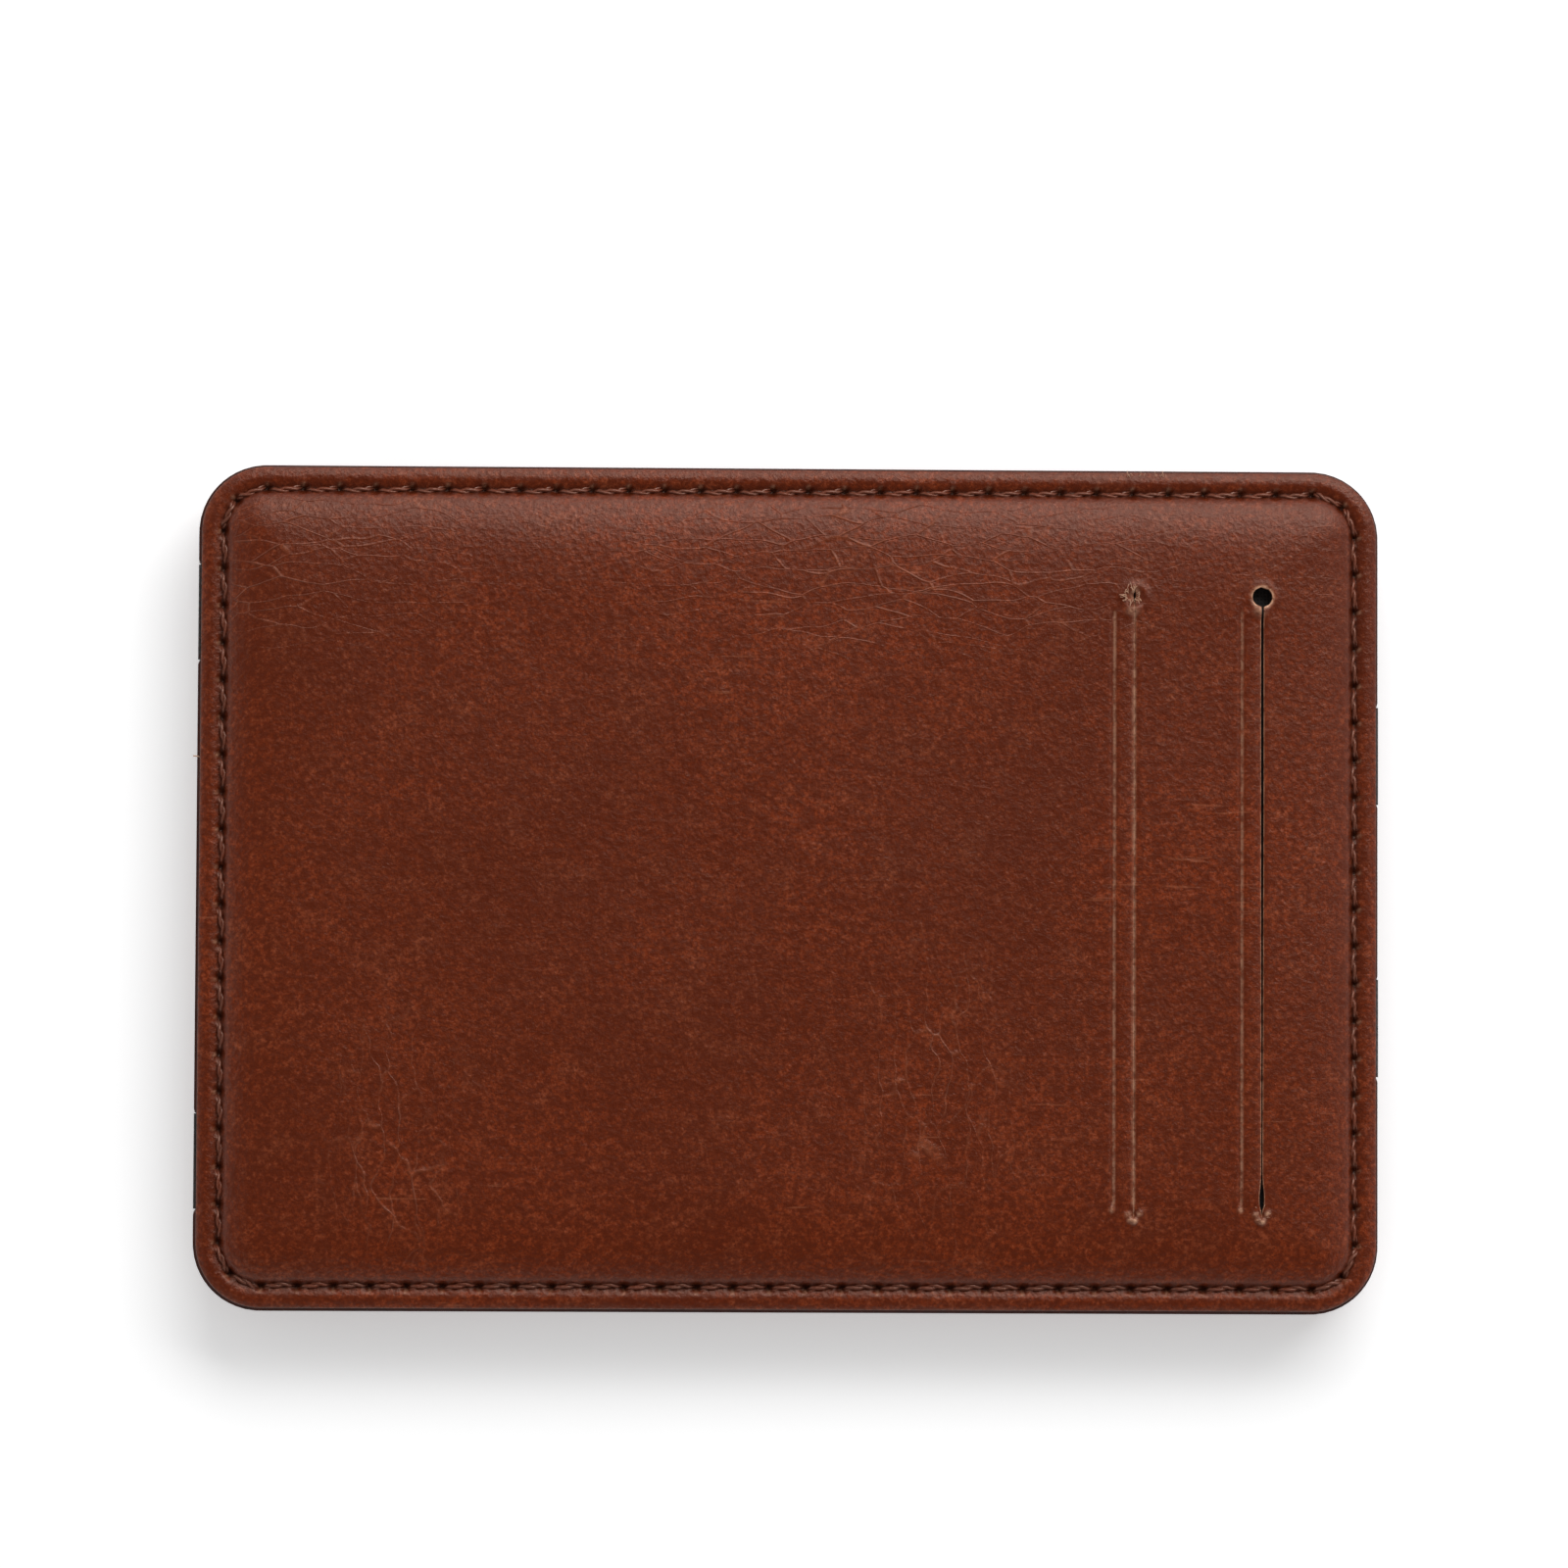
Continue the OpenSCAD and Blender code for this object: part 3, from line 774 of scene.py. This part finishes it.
def leather_face(bm, board, slits, stitches, holes, fine, top):
    """One face of the outer leather: the fine outer one, or the plain one under it.
    Nothing on it rises past top."""
    outline = Outline(board.corner, board.edge_step)
    places, low, high = slit_places(slits, stitches)
    low, high = low - slits.end_r, high + slits.end_r
    ends_y = (low, low + 2 * slits.end_r, high - 2 * slits.end_r, high)
    creases = [xs - slits.crease for xs in places]
    rectangle(bm, outline.half_l, outline.half_w, board.cell,
              sorted((*places, *creases)), ends_y)

    def wanted(p):
        by_slit = any(-3 * MM < p.x - xs < 1.6 * MM for xs in places)
        in_reach = low - 2 * MM < p.y < high + 2 * MM
        at_edge = fine and outline.depth(p.x, p.y) < 4.4 * MM
        return p.z == 0.0 and (at_edge or (by_slit and in_reach))

    refine(bm, wanted, 3)
    verts = unplaced(bm)
    cut = [e for e in {e for v in verts for e in v.link_edges}
           if any(all(abs(v.co.x - xs) < ON_LINE for v in e.verts) for xs in places)
           and all(low - ON_LINE < v.co.y < high + ON_LINE for v in e.verts)]
    bmesh.ops.split_edges(bm, edges=cut)
    verts = unplaced(bm)
    x, y = columns(verts)
    x = gather(x, (*places, *creases)) if fine else x
    opened, raw = open_slits(x.copy(), y, verts, places, low, high, slits.end_r)
    p = outline.depth(x, y)
    depth = edge_depth(p, board.bead)
    shown_x, shown_y = outline.place(x, y, depth)
    shown_x = shown_x + (opened - x)
    u, hole_shade, rim = field_height(shown_x, shown_y, depth + board.edge_step, board, stitches, holes)
    lip = np.zeros_like(u)
    for index, xs in enumerate(places):
        relief, light = slit_relief(shown_x, shown_y, xs, index, low, high, slits)
        u += relief
        lip = np.maximum(lip, light)
    u = np.minimum(u, top)
    if not fine:
        u = np.maximum(u - board.leather, U_LEATHER)
    move_to(verts, shown_x, shown_y, u)
    # Wrinkles run across below the upper seam, and upright in two patches lower down. These marks give the
    # wrinkles their bump and a painted highlight in the colour.
    worn = smooth((shown_y - 19 * MM) / (11 * MM)) * (0.55 + 0.45 * np.sin(shown_x * 95 + 0.6))
    worn = worn * smooth((depth - 2.6 * MM) / (1.2 * MM))
    low_left = bump_at(np.hypot((shown_x + 37 * MM) * 2, shown_y + 24 * MM), 11 * MM)
    low_right = bump_at(np.hypot((shown_x - 14 * MM) * 2, shown_y + 20 * MM), 13 * MM)
    # Lighter tan marks: real raw cut edges and a thin raw line round the outline, with painted highlights on
    # the slit's puckers and beads and on the leather pushed up beside each needle hole.
    raw_edge_and_glint = np.maximum.reduce((raw, lip, 0.6 * rim, 0.3 * (p < 0.15 * MM)))
    mark(bm, verts, needle=hole_shade, raw=raw_edge_and_glint, across=worn,
         upright=np.maximum(low_left, low_right), paint=0.8 * (p < 0.02 * MM))


def close_edges(bm, places):
    """Joins the two faces of a sheet round the outline and round each slit."""
    groups = {}
    for e in bm.edges:
        if e.is_boundary:
            middle = (e.verts[0].co + e.verts[1].co) / 2
            near = [i for i, xs in enumerate(places) if abs(middle.x - xs) < 1.5 * MM]
            edge = HALF_W - abs(middle.y) < 3 * MM
            groups.setdefault(near[0] if near and not edge else "outline", []).append(e)
    for edges in groups.values():
        bmesh.ops.bridge_loops(bm, edges=edges)
    bmesh.ops.recalc_face_normals(bm, faces=bm.faces)


def flip_to_side(bm, side):
    """Puts a mesh whose heights are from the middle plane on its side of the wallet: the back
    board is the front one turned about Y."""
    turn = Matrix.Identity(4) if side == "front" else Matrix.Rotation(math.pi, 4, "Y")
    bmesh.ops.transform(bm, matrix=Matrix.Translation((0, 0, Z_MID)) @ turn, verts=bm.verts)


class WALLET_OT_outer_leather(bpy.types.Operator):
    """Builds the padded outer leather of both boards"""
    bl_idname = "wallet.outer_leather"
    bl_label = "Outer leather"

    def execute(self, context):
        s = context.scene
        material = outer_leather_material(s.wallet_colours)
        holes = needle_holes(s.wallet_board, s.wallet_stitches)
        places = slit_places(s.wallet_slits, s.wallet_stitches)[0]
        # The back board lies on its slit ends and presses them flat.
        for side, top in (("front", U_TOP + 1.0 * MM), ("back", U_TOP)):
            bm = sheet_mesh()
            for fine in (True, False):
                leather_face(bm, s.wallet_board, s.wallet_slits, s.wallet_stitches, holes,
                             fine, top)
            close_edges(bm, places)
            flip_to_side(bm, side)
            piece = new_piece(f"{side}_leather", bm, material)
            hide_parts(f"{side}_outer_leather")
            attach(piece, f"{side}_board")
        return {"FINISHED"}


# ---------------------------------------------------------------- inner leather and linings

LINING_SHRINK = 1.1 * MM   # how far the lining stays inside the outer leather
NOTCH_DEPTH = 0.6 * MM     # how far the inner leather is cut back at a strap


def plain_sheet(bm, outline, cell, band, cuts, height, notch=None):
    """Both faces of a thin sheet, the lower one finer within band of its edge. height gives a
    face's heights and marks from x, y and depth."""
    for upper in (False, True):
        rectangle(bm, outline.half_l, outline.half_w, cell)
        if band and not upper:
            refine(bm, lambda p: outline.depth(p.x, p.y) < band, cuts)
        verts = unplaced(bm)
        x, y = columns(verts)
        p = outline.depth(x, y)
        x, y = outline.place(x, y, p)
        if notch:
            x, y = notch(x, y, p)
        u, marks = height(x, y, p, upper)
        move_to(verts, x, y, u)
        mark(bm, verts, **marks)


def strap_ends(straps):
    """Each strap end on a board: which short edge it is on (-1 or 1), and its Y."""
    return ([(-1, s * straps.parallel_y) for s in (-1, 1)]
            + [(1, s * straps.crossed_y) for s in (-1, 1)])


class WALLET_OT_inner_leather(bpy.types.Operator):
    """Builds the inner leather of both boards, with its painted edge and strap notches"""
    bl_idname = "wallet.inner_leather"
    bl_label = "Inner leather"

    def execute(self, context):
        s = context.scene
        board, stitches, straps = s.wallet_board, s.wallet_stitches, s.wallet_straps
        material = inner_leather_material(s.wallet_colours)
        holes = needle_holes(board, stitches)

        def notch(x, y, p):
            for end, at in strap_ends(straps):
                window = smooth((straps.width / 2 + 0.05 * MM - np.abs(y - at)) / (0.15 * MM))
                near = np.clip(1 - p / (2.2 * MM), 0, 1) * (np.sign(x) == end)
                x = x - end * NOTCH_DEPTH * window * near
            return x - board.edge_slip, y - board.edge_slip

        def height(x, y, p, upper):
            over = (1 - p / (0.3 * MM)).clip(0, 1)
            rounding = 0.22 * MM * (1 - np.sqrt(np.clip(1 - over ** 2, 0, 1)))
            needle = np.zeros_like(x)
            if upper:
                return U_LEATHER - 0.02 * MM - rounding * 0.3, {"paint": (p < 1.2 * MM) * 1.0}
            band = np.abs(p - stitches.inset) < 1.4 * MM
            gap = np.min(np.hypot(x[band, None] - holes[None, :, 0],
                                  y[band, None] - holes[None, :, 1]), axis=1)
            # Round each needle hole the leather is raised, and the same mark darkens it as painted shade.
            needle[band] = bump_at(gap, 0.42 * MM)
            u = U_INNER + rounding + 0.2 * MM * bump_at(p - stitches.inset, 0.5 * MM)
            u = u + 0.2 * MM * needle + 0.015 * MM * np.sin(x * 210) * np.sin(y * 240)
            return u, {"needle": needle, "paint": np.clip(1.6 - p / (0.35 * MM), 0, 1)}

        for side in SIDES:
            bm = sheet_mesh()
            plain_sheet(bm, Outline(board.corner), 1.0 * MM, 4.2 * MM, 2, height, notch)
            close_edges(bm, ())
            flip_to_side(bm, side)
            piece = new_piece(f"{side}_inner_face", bm, material)
            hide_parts(f"{side}_inner_leather")
            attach(piece, f"{side}_board")
        return {"FINISHED"}


class WALLET_OT_linings(bpy.types.Operator):
    """Builds the black pocket linings that show through the slits"""
    bl_idname = "wallet.linings"
    bl_label = "Pocket linings"

    def execute(self, context):
        s = context.scene
        board, stitches = s.wallet_board, s.wallet_stitches
        material = lining_material()
        holes = needle_holes(board, stitches)
        outline = Outline(board.corner, board.edge_step + LINING_SHRINK)

        def height(x, y, p, upper):
            depth = p + board.edge_step + LINING_SHRINK
            u = field_height(x, y, depth, board, stitches, holes)[0]
            u = np.maximum(u - board.leather - 0.3 * MM, U_SEAM + 1.5 * LINER_T)
            return u - (0.0 if upper else LINER_T), {}

        for side in SIDES:
            bm = sheet_mesh()
            plain_sheet(bm, outline, 1.6 * MM, 0, 0, height)
            close_edges(bm, ())
            flip_to_side(bm, side)
            piece = new_piece(f"{side}_lining", bm, material)
            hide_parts(f"{side}_pocket_liner_outer", f"{side}_pocket_liner_inner")
            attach(piece, f"{side}_board")
        return {"FINISHED"}


# ---------------------------------------------------------------- stitching

def stitch_template(stitches):
    """One two-ply stitch along X that dives into its holes at both ends."""
    bm = bmesh.new()
    ply, steps = stitches.thread / 2, 6
    for start in (0.0, math.pi):
        points = []
        for k in range(steps + 1):
            t = 2 * k / steps - 1
            turn = start + 1.25 * math.pi * t
            arch = -1.5 * stitches.thread * abs(t) ** 3.0
            bow = 0.16 * MM * (1 - t * t) - 0.08 * MM
            points.append(Vector((t * stitches.span / 2, bow + 0.9 * ply * math.cos(turn),
                                  arch + 0.75 * ply * math.sin(turn))))
        sweep(bm, frames_along(points), ply * 1.1, 4)
    bmesh.ops.recalc_face_normals(bm, faces=bm.faces)
    mesh = bpy.data.meshes.new("stitch_template")
    bm.to_mesh(mesh)
    bm.free()
    return mesh


def stitch_run(stitches, board, height, slant, rng):
    """All the stitches of one face, each a little different."""
    template = stitch_template(stitches)
    bm = bmesh.new()
    for place, angle, on_corner in seam_places(board, stitches, stitches.inset)[0]:
        before = len(bm.verts)
        bm.from_mesh(template)
        bm.verts.ensure_lookup_table()
        made = bm.verts[before:]
        lean = 0.0 if on_corner else slant
        turn = Matrix.Rotation(angle + lean + rng.uniform(-0.05, 0.05), 4, "Z")
        size = Matrix.Diagonal((rng.uniform(0.96, 1.03) * (0.95 if on_corner else 1.0),
                                rng.uniform(0.94, 1.06), rng.uniform(0.92, 1.08), 1.0))
        move = Matrix.Translation((place.x, place.y, height + rng.uniform(-0.03, 0.03) * MM))
        bmesh.ops.transform(bm, matrix=move @ turn @ size, verts=made)
    bpy.data.meshes.remove(template)
    return bm


class WALLET_OT_stitching(bpy.types.Operator):
    """Sews the seam of both boards, on the outer and the inner face"""
    bl_idname = "wallet.stitching"
    bl_label = "Stitching"

    def execute(self, context):
        s = context.scene
        board, stitches = s.wallet_board, s.wallet_stitches
        material = thread_material(s.wallet_colours)
        rng = random.Random(stitches.seed)
        outer = U_LEATHER + board.leather - 0.42 * MM + 0.75 * stitches.thread
        inner = U_INNER + 0.2 * MM - 0.5 * stitches.thread
        for side in SIDES:
            for face, height in (("stitches", outer), ("inner_stitches", inner)):
                bm = stitch_run(stitches, board, 0.0, stitches.slant, rng)
                if face == "inner_stitches":
                    bmesh.ops.scale(bm, vec=(1, 1, -1), verts=bm.verts)
                    bmesh.ops.reverse_faces(bm, faces=bm.faces)
                bmesh.ops.translate(bm, vec=(0, 0, height), verts=bm.verts)
                flip_to_side(bm, side)
                piece = new_piece(f"{side}_{face}", bm, material)
                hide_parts(f"{side}_stitching")
                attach(piece, f"{side}_board")
        return {"FINISHED"}


# ---------------------------------------------------------------- straps

CROSS_LEVEL = 0.4 * MM     # height of the crossed straps over and under the middle plane
FACE_PLAY = 0.03 * MM      # how far past a strap's flat face its bend begins
TAIL_START = 1.32 * MM     # height at which the bend ends and the tail begins


def ribbon(path, half_width, thick, name, material):
    """A flat woven strap along a path, with its length and width on its own map."""
    bm = bmesh.new()
    steps, across = len(path) - 1, 6
    verts = bmesh.ops.create_grid(bm, x_segments=steps, y_segments=across, size=1.0)["verts"]
    top = max(v.co.x for v in verts)
    run = np.concatenate([[0], np.cumsum([(b - a).length for a, b in zip(path, path[1:])])])
    uv = bm.loops.layers.uv.new("Strap")
    for f in bm.faces:
        for loop in f.loops:
            t = (loop.vert.co.x / top + 1) / 2 * steps
            along = float(np.interp(t, range(steps + 1), run))
            loop[uv].uv = (along, loop.vert.co.y / top * half_width)
    for v in verts:
        step, side = round((v.co.x / top + 1) / 2 * steps), v.co.y / top
        v.co = path[step] + Vector((0, side * half_width, 0))
    bmesh.ops.recalc_face_normals(bm, faces=bm.faces)
    lift = 0.5 * thick
    for v in bm.verts:
        v.co -= v.normal * lift
    bmesh.ops.solidify(bm, geom=bm.faces[:], thickness=-thick)
    bmesh.ops.recalc_face_normals(bm, faces=bm.faces)
    piece = new_piece(name, bm, material)
    piece.data.set_sharp_from_angle(angle=math.radians(50))
    return piece


def curve_through(points, per_span=6):
    """A smooth path through chosen points."""
    path = []
    last = len(points) - 1
    for i in range(last):
        a, b, c, d = points[max(i - 1, 0)], points[i], points[i + 1], points[min(i + 2, last)]
        for k in range(per_span):
            t = k / per_span
            path.append(0.5 * ((2 * b) + (c - a) * t + (2 * a - 5 * b + 4 * c - d) * t * t
                               + (3 * b - a - 3 * c + d) * t ** 3))
    return path + [points[-1]]


def strap_half(end, y_end, y_middle, u_flat, side, straps):
    """Half of a strap, from the middle of the wallet to its tail in one board's seam."""
    sign = outward(side)
    turn = HALF_L - straps.thick / 2 + 0.12 * MM
    tuck = U_SEAM - 0.15 * MM

    def at(x, u):
        y = y_middle + (y_end - y_middle) * min(abs(x) / HALF_L, 1.0)
        return Vector((end * x, y, Z_MID + sign * u))

    flat = sign * u_flat
    points = [at(0.0, flat), at(0.25 * HALF_L, flat), at(0.5 * HALF_L, flat),
              at(0.75 * HALF_L, flat), at(HALF_L - 3.2 * MM, flat),
              at(HALF_L - 1.2 * MM, flat * 0.7 + 0.02 * MM),
              at(turn - 0.16 * MM, 0.35 * MM), at(turn, 0.85 * MM),
              at(turn - 0.16 * MM, 1.4 * MM), at(HALF_L - 1.6 * MM, tuck),
              at(HALF_L - 4.0 * MM, tuck), at(HALF_L - straps.tail, tuck)]
    return curve_through(points)


class WALLET_OT_straps(bpy.types.Operator):
    """Builds the crossed and the parallel elastic straps with their sewn-in ends"""
    bl_idname = "wallet.straps"
    bl_label = "Straps"

    def execute(self, context):
        s = context.scene
        straps = s.wallet_straps
        material = elastic_material(s.wallet_colours)
        edge = HALF_L + straps.hinge_out
        lean = straps.crossed_y / HALF_L
        wide = straps.width / 2 * math.hypot(1, lean)
        made = []
        for name, slope, level in (("crossed_strap_over", 1, CROSS_LEVEL),
                                   ("crossed_strap_under", -1, -CROSS_LEVEL)):
            for end, side, half in ((-1, "back", "left"), (1, "front", "right")):
                path = strap_half(end, end * slope * straps.crossed_y, 0.0, level, side, straps)
                piece = ribbon(path, wide, straps.thick, f"{name}_{half}", material)
                made.append((piece, name, "crossed_straps", f"{side}_board", end, side, level))
        for name, y in (("parallel_strap_upper", 1), ("parallel_strap_lower", -1)):
            for end, side in ((-1, "front"), (1, "back")):
                at = y * straps.parallel_y
                path = strap_half(end, at, at, 0.0, side, straps)
                piece = ribbon(path, straps.width / 2, straps.thick, f"{name}_{side}_half",
                               material)
                made.append((piece, f"{name}_{side}", f"parallel_straps_{side}",
                             f"{side}_board", end, side, 0.0))
        for piece, node, free, held, end, side, level in made:
            sign = outward(side)
            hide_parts(node, f"{side}_strap_ends")
            # The turn begins just past the flat part's own face, and ends where the tail begins.
            face = max(sign * level, 0.0) + straps.thick / 2 + FACE_PLAY
            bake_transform(piece, free, held, start=(end * edge, 0, Z_MID + sign * face),
                     end=(end * edge, 0, Z_MID + sign * TAIL_START))
        return {"FINISHED"}


# ---------------------------------------------------------------- fibres

HAIR_STEPS = 5


def hair(bm, start, heading, reach, curl, radius, rng):
    """One fine fibre that bends as it goes."""
    points, at, way = [], Vector(start), Vector(heading).normalized()
    for _ in range(HAIR_STEPS + 1):
        points.append(at.copy())
        at = at + way * reach / HAIR_STEPS
        way = (way + Vector((rng.uniform(-curl, curl), rng.uniform(-curl, curl),
                             rng.uniform(-curl, curl) * 0.5))).normalized()
    sweep(bm, frames_along(points), radius, 4)


class WALLET_OT_fibres(bpy.types.Operator):
    """Adds the frayed fibres, edge fuzz and one loose thread end"""
    bl_idname = "wallet.fibres"
    bl_label = "Fibres"

    def execute(self, context):
        s = context.scene
        slits, stitches = s.wallet_slits, s.wallet_stitches
        (first, second), low, high = slit_places(slits, stitches)
        rng = random.Random(stitches.seed + 1)
        bm = bmesh.new()
        # The frayed top end of the first slit, then the fuzz on the upper edge, then the low ends.
        for _ in range(34):
            a = rng.uniform(0, 2 * math.pi)
            start = (first - 0.3 * MM + 0.5 * MM * math.cos(a),
                     high + 0.35 * MM * math.sin(a), U_TOP - 0.12 * MM)
            heading = (math.cos(a) * 0.4, math.sin(a) * 0.5 + 0.3, 0.35)
            hair(bm, start, heading, rng.uniform(0.4, 1.0) * MM, 0.6, 0.025 * MM, rng)
        for _ in range(14):
            start = (rng.uniform(0.57, 0.64) * HALF_L, HALF_W - 0.7 * MM,
                     U_LEATHER + 0.85 * s.wallet_board.leather)
            heading = (rng.uniform(-0.4, 0.4), 0.8, 0.3)
            hair(bm, start, heading, rng.uniform(0.3, 0.8) * MM, 0.5, 0.02 * MM, rng)
        for x in (second, first):
            for _ in range(6):
                a = rng.uniform(0, 2 * math.pi)
                start = (x + 0.85 * MM * math.cos(a), low + 0.85 * MM * math.sin(a),
                         U_TOP - 0.3 * MM)
                heading = (-math.cos(a), -math.sin(a), 0.2)
                hair(bm, start, heading, rng.uniform(0.15, 0.35) * MM, 0.5, 0.018 * MM, rng)
        loose_end = (-HALF_L + 0.3 * MM, 12.2 * MM, U_LEATHER)
        hair(bm, loose_end, (-1, 0.1, 0.05), 0.75 * MM, 0.25, 0.06 * MM, rng)
        bmesh.ops.recalc_face_normals(bm, faces=bm.faces)
        flip_to_side(bm, "front")
        piece = new_piece("front_fibres", bm, fibre_material(s.wallet_colours))
        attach(piece, "front_board")
        return {"FINISHED"}


class WALLET_OT_padding(bpy.types.Operator):
    """Gives the foam pads and the stiffeners inside both boards their finish"""
    bl_idname = "wallet.padding"
    bl_label = "Padding"

    def execute(self, context):
        foam, board = foam_material(), board_material()
        for side in SIDES:
            for node, material in ((f"{side}_foam_pad", foam), (f"{side}_stiffener", board)):
                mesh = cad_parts[node].data
                mesh.materials.clear()
                mesh.materials.append(material)
        return {"FINISHED"}


# ---------------------------------------------------------------- stage

KEY_PLACE, KEY_SIZE = (0.3, 0.74, 0.72), (1.1, 0.5)
TOP_PLACE, TOP_SIZE = (0.0, 0.1, 0.9), (1.5, 1.5)
FLOOR_REACH = 3.0          # from the middle of the floor to its edge
FLOOR_DROP = 0.0001        # how far the floor lies below the wallet
SENSOR_WIDTH = 36.0        # in millimetres, as the lens is


def area_light(name, place, size, power):
    """A soft light that faces the wallet."""
    data = bpy.data.lights.new(name, "AREA")
    data.shape, (data.size, data.size_y), data.energy = "RECTANGLE", size, power
    light = bpy.data.objects.new(name, data)
    light.location = place
    light.rotation_euler = (Vector((0, 0, 0)) - Vector(place)).to_track_quat("-Z", "Y").to_euler()
    bpy.context.scene.collection.objects.link(light)
    return light


def studio_world(strength):
    """A white surround that is brightest near the floor and dim overhead."""
    world = bpy.data.worlds.new("studio")
    world.use_nodes = True
    nodes, links = world.node_tree.nodes, world.node_tree.links
    height = nodes.new("ShaderNodeSeparateXYZ")
    links.new(nodes.new("ShaderNodeTexCoord").outputs["Generated"], height.inputs["Vector"])
    fade = nodes.new("ShaderNodeMapRange")
    fade.interpolation_type = "SMOOTHSTEP"
    links.new(height.outputs["Z"], fade.inputs["Value"])
    for name, value in (("From Min", 0.3), ("From Max", 0.75), ("To Min", 1.0), ("To Max", 0.03)):
        fade.inputs[name].default_value = value
    power = nodes.new("ShaderNodeMath")
    power.operation = "MULTIPLY"
    power.inputs[1].default_value = strength
    links.new(fade.outputs["Result"], power.inputs[0])
    links.new(power.outputs["Value"], nodes["Background"].inputs["Strength"])
    nodes["Background"].inputs["Color"].default_value = (1.0, 1.0, 1.0, 1.0)
    return world


class WALLET_OT_stage(bpy.types.Operator):
    """Sets up the floor, the soft lights and the camera"""
    bl_idname = "wallet.stage"
    bl_label = "Stage"

    def execute(self, context):
        scene, st = context.scene, context.scene.wallet_stage
        bm = bmesh.new()
        bmesh.ops.create_grid(bm, x_segments=4, y_segments=4, size=FLOOR_REACH)
        bmesh.ops.translate(bm, vec=(0, 0, CAD_BOX[0].z - FLOOR_DROP), verts=bm.verts)
        floor = new_piece("floor", bm, floor_material(), False)
        area_light("key", KEY_PLACE, KEY_SIZE, st.key)
        # The overhead light only fills: it isn't mirrored in the leather.
        area_light("top", TOP_PLACE, TOP_SIZE, st.top).visible_glossy = False
        scene.world = studio_world(st.fill)
        scene.view_settings.view_transform = "Standard"
        data = bpy.data.cameras.new("camera")
        data.lens, data.sensor_width = st.lens, SENSOR_WIDTH
        camera = bpy.data.objects.new("camera", data)
        distance = st.frame_w * st.lens / data.sensor_width
        aim = Vector((st.aim_x, st.aim_y, CAD_BOX[1].z))
        back = Vector((-math.sin(st.tilt_x), -math.sin(st.tilt_y), 1.0)).normalized()
        across = Vector((0, 1, 0)).cross(back).normalized()
        view = Matrix((across, back.cross(across), back)).transposed().to_4x4()
        camera.matrix_world = (Matrix.Translation(aim + back * distance) @ view
                               @ Matrix.Rotation(st.roll, 4, "Z"))
        scene.collection.objects.link(camera)
        scene.camera = camera
        return {"FINISHED"}


# ---------------------------------------------------------------- add-on

class WALLET_PT_panel(bpy.types.Panel):
    """Lists the wallet's sizes, colours and building steps"""
    bl_idname = "WALLET_PT_panel"
    bl_label = "Padded strap wallet"
    bl_space_type = "VIEW_3D"
    bl_region_type = "UI"
    bl_category = "Wallet"

    def draw(self, context):
        for step in STEPS:
            self.layout.operator(step.bl_idname)
        for name, group in SETTINGS.items():
            box = self.layout.box()
            for prop in group.__annotations__:
                box.prop(getattr(context.scene, name), prop)


STEPS = (
    WALLET_OT_stage,
    WALLET_OT_outer_leather,
    WALLET_OT_inner_leather,
    WALLET_OT_linings,
    WALLET_OT_stitching,
    WALLET_OT_straps,
    WALLET_OT_fibres,
    WALLET_OT_padding,
)
CLASSES = (*SETTINGS.values(), *STEPS, WALLET_PT_panel)


def register():
    """Registers every class and hangs the settings on the scene."""
    for c in CLASSES:
        bpy.utils.register_class(c)
    for name, group in SETTINGS.items():
        setattr(bpy.types.Scene, name, PointerProperty(type=group))


def unregister():
    """Takes everything away again."""
    for name in SETTINGS:
        delattr(bpy.types.Scene, name)
    for c in reversed(CLASSES):
        bpy.utils.unregister_class(c)


def main():
    """Builds the whole wallet."""
    register()
    for step in STEPS:
        category, name = step.bl_idname.split(".")
        getattr(getattr(bpy.ops, category), name)()


if __name__ == "__main__":
    main()
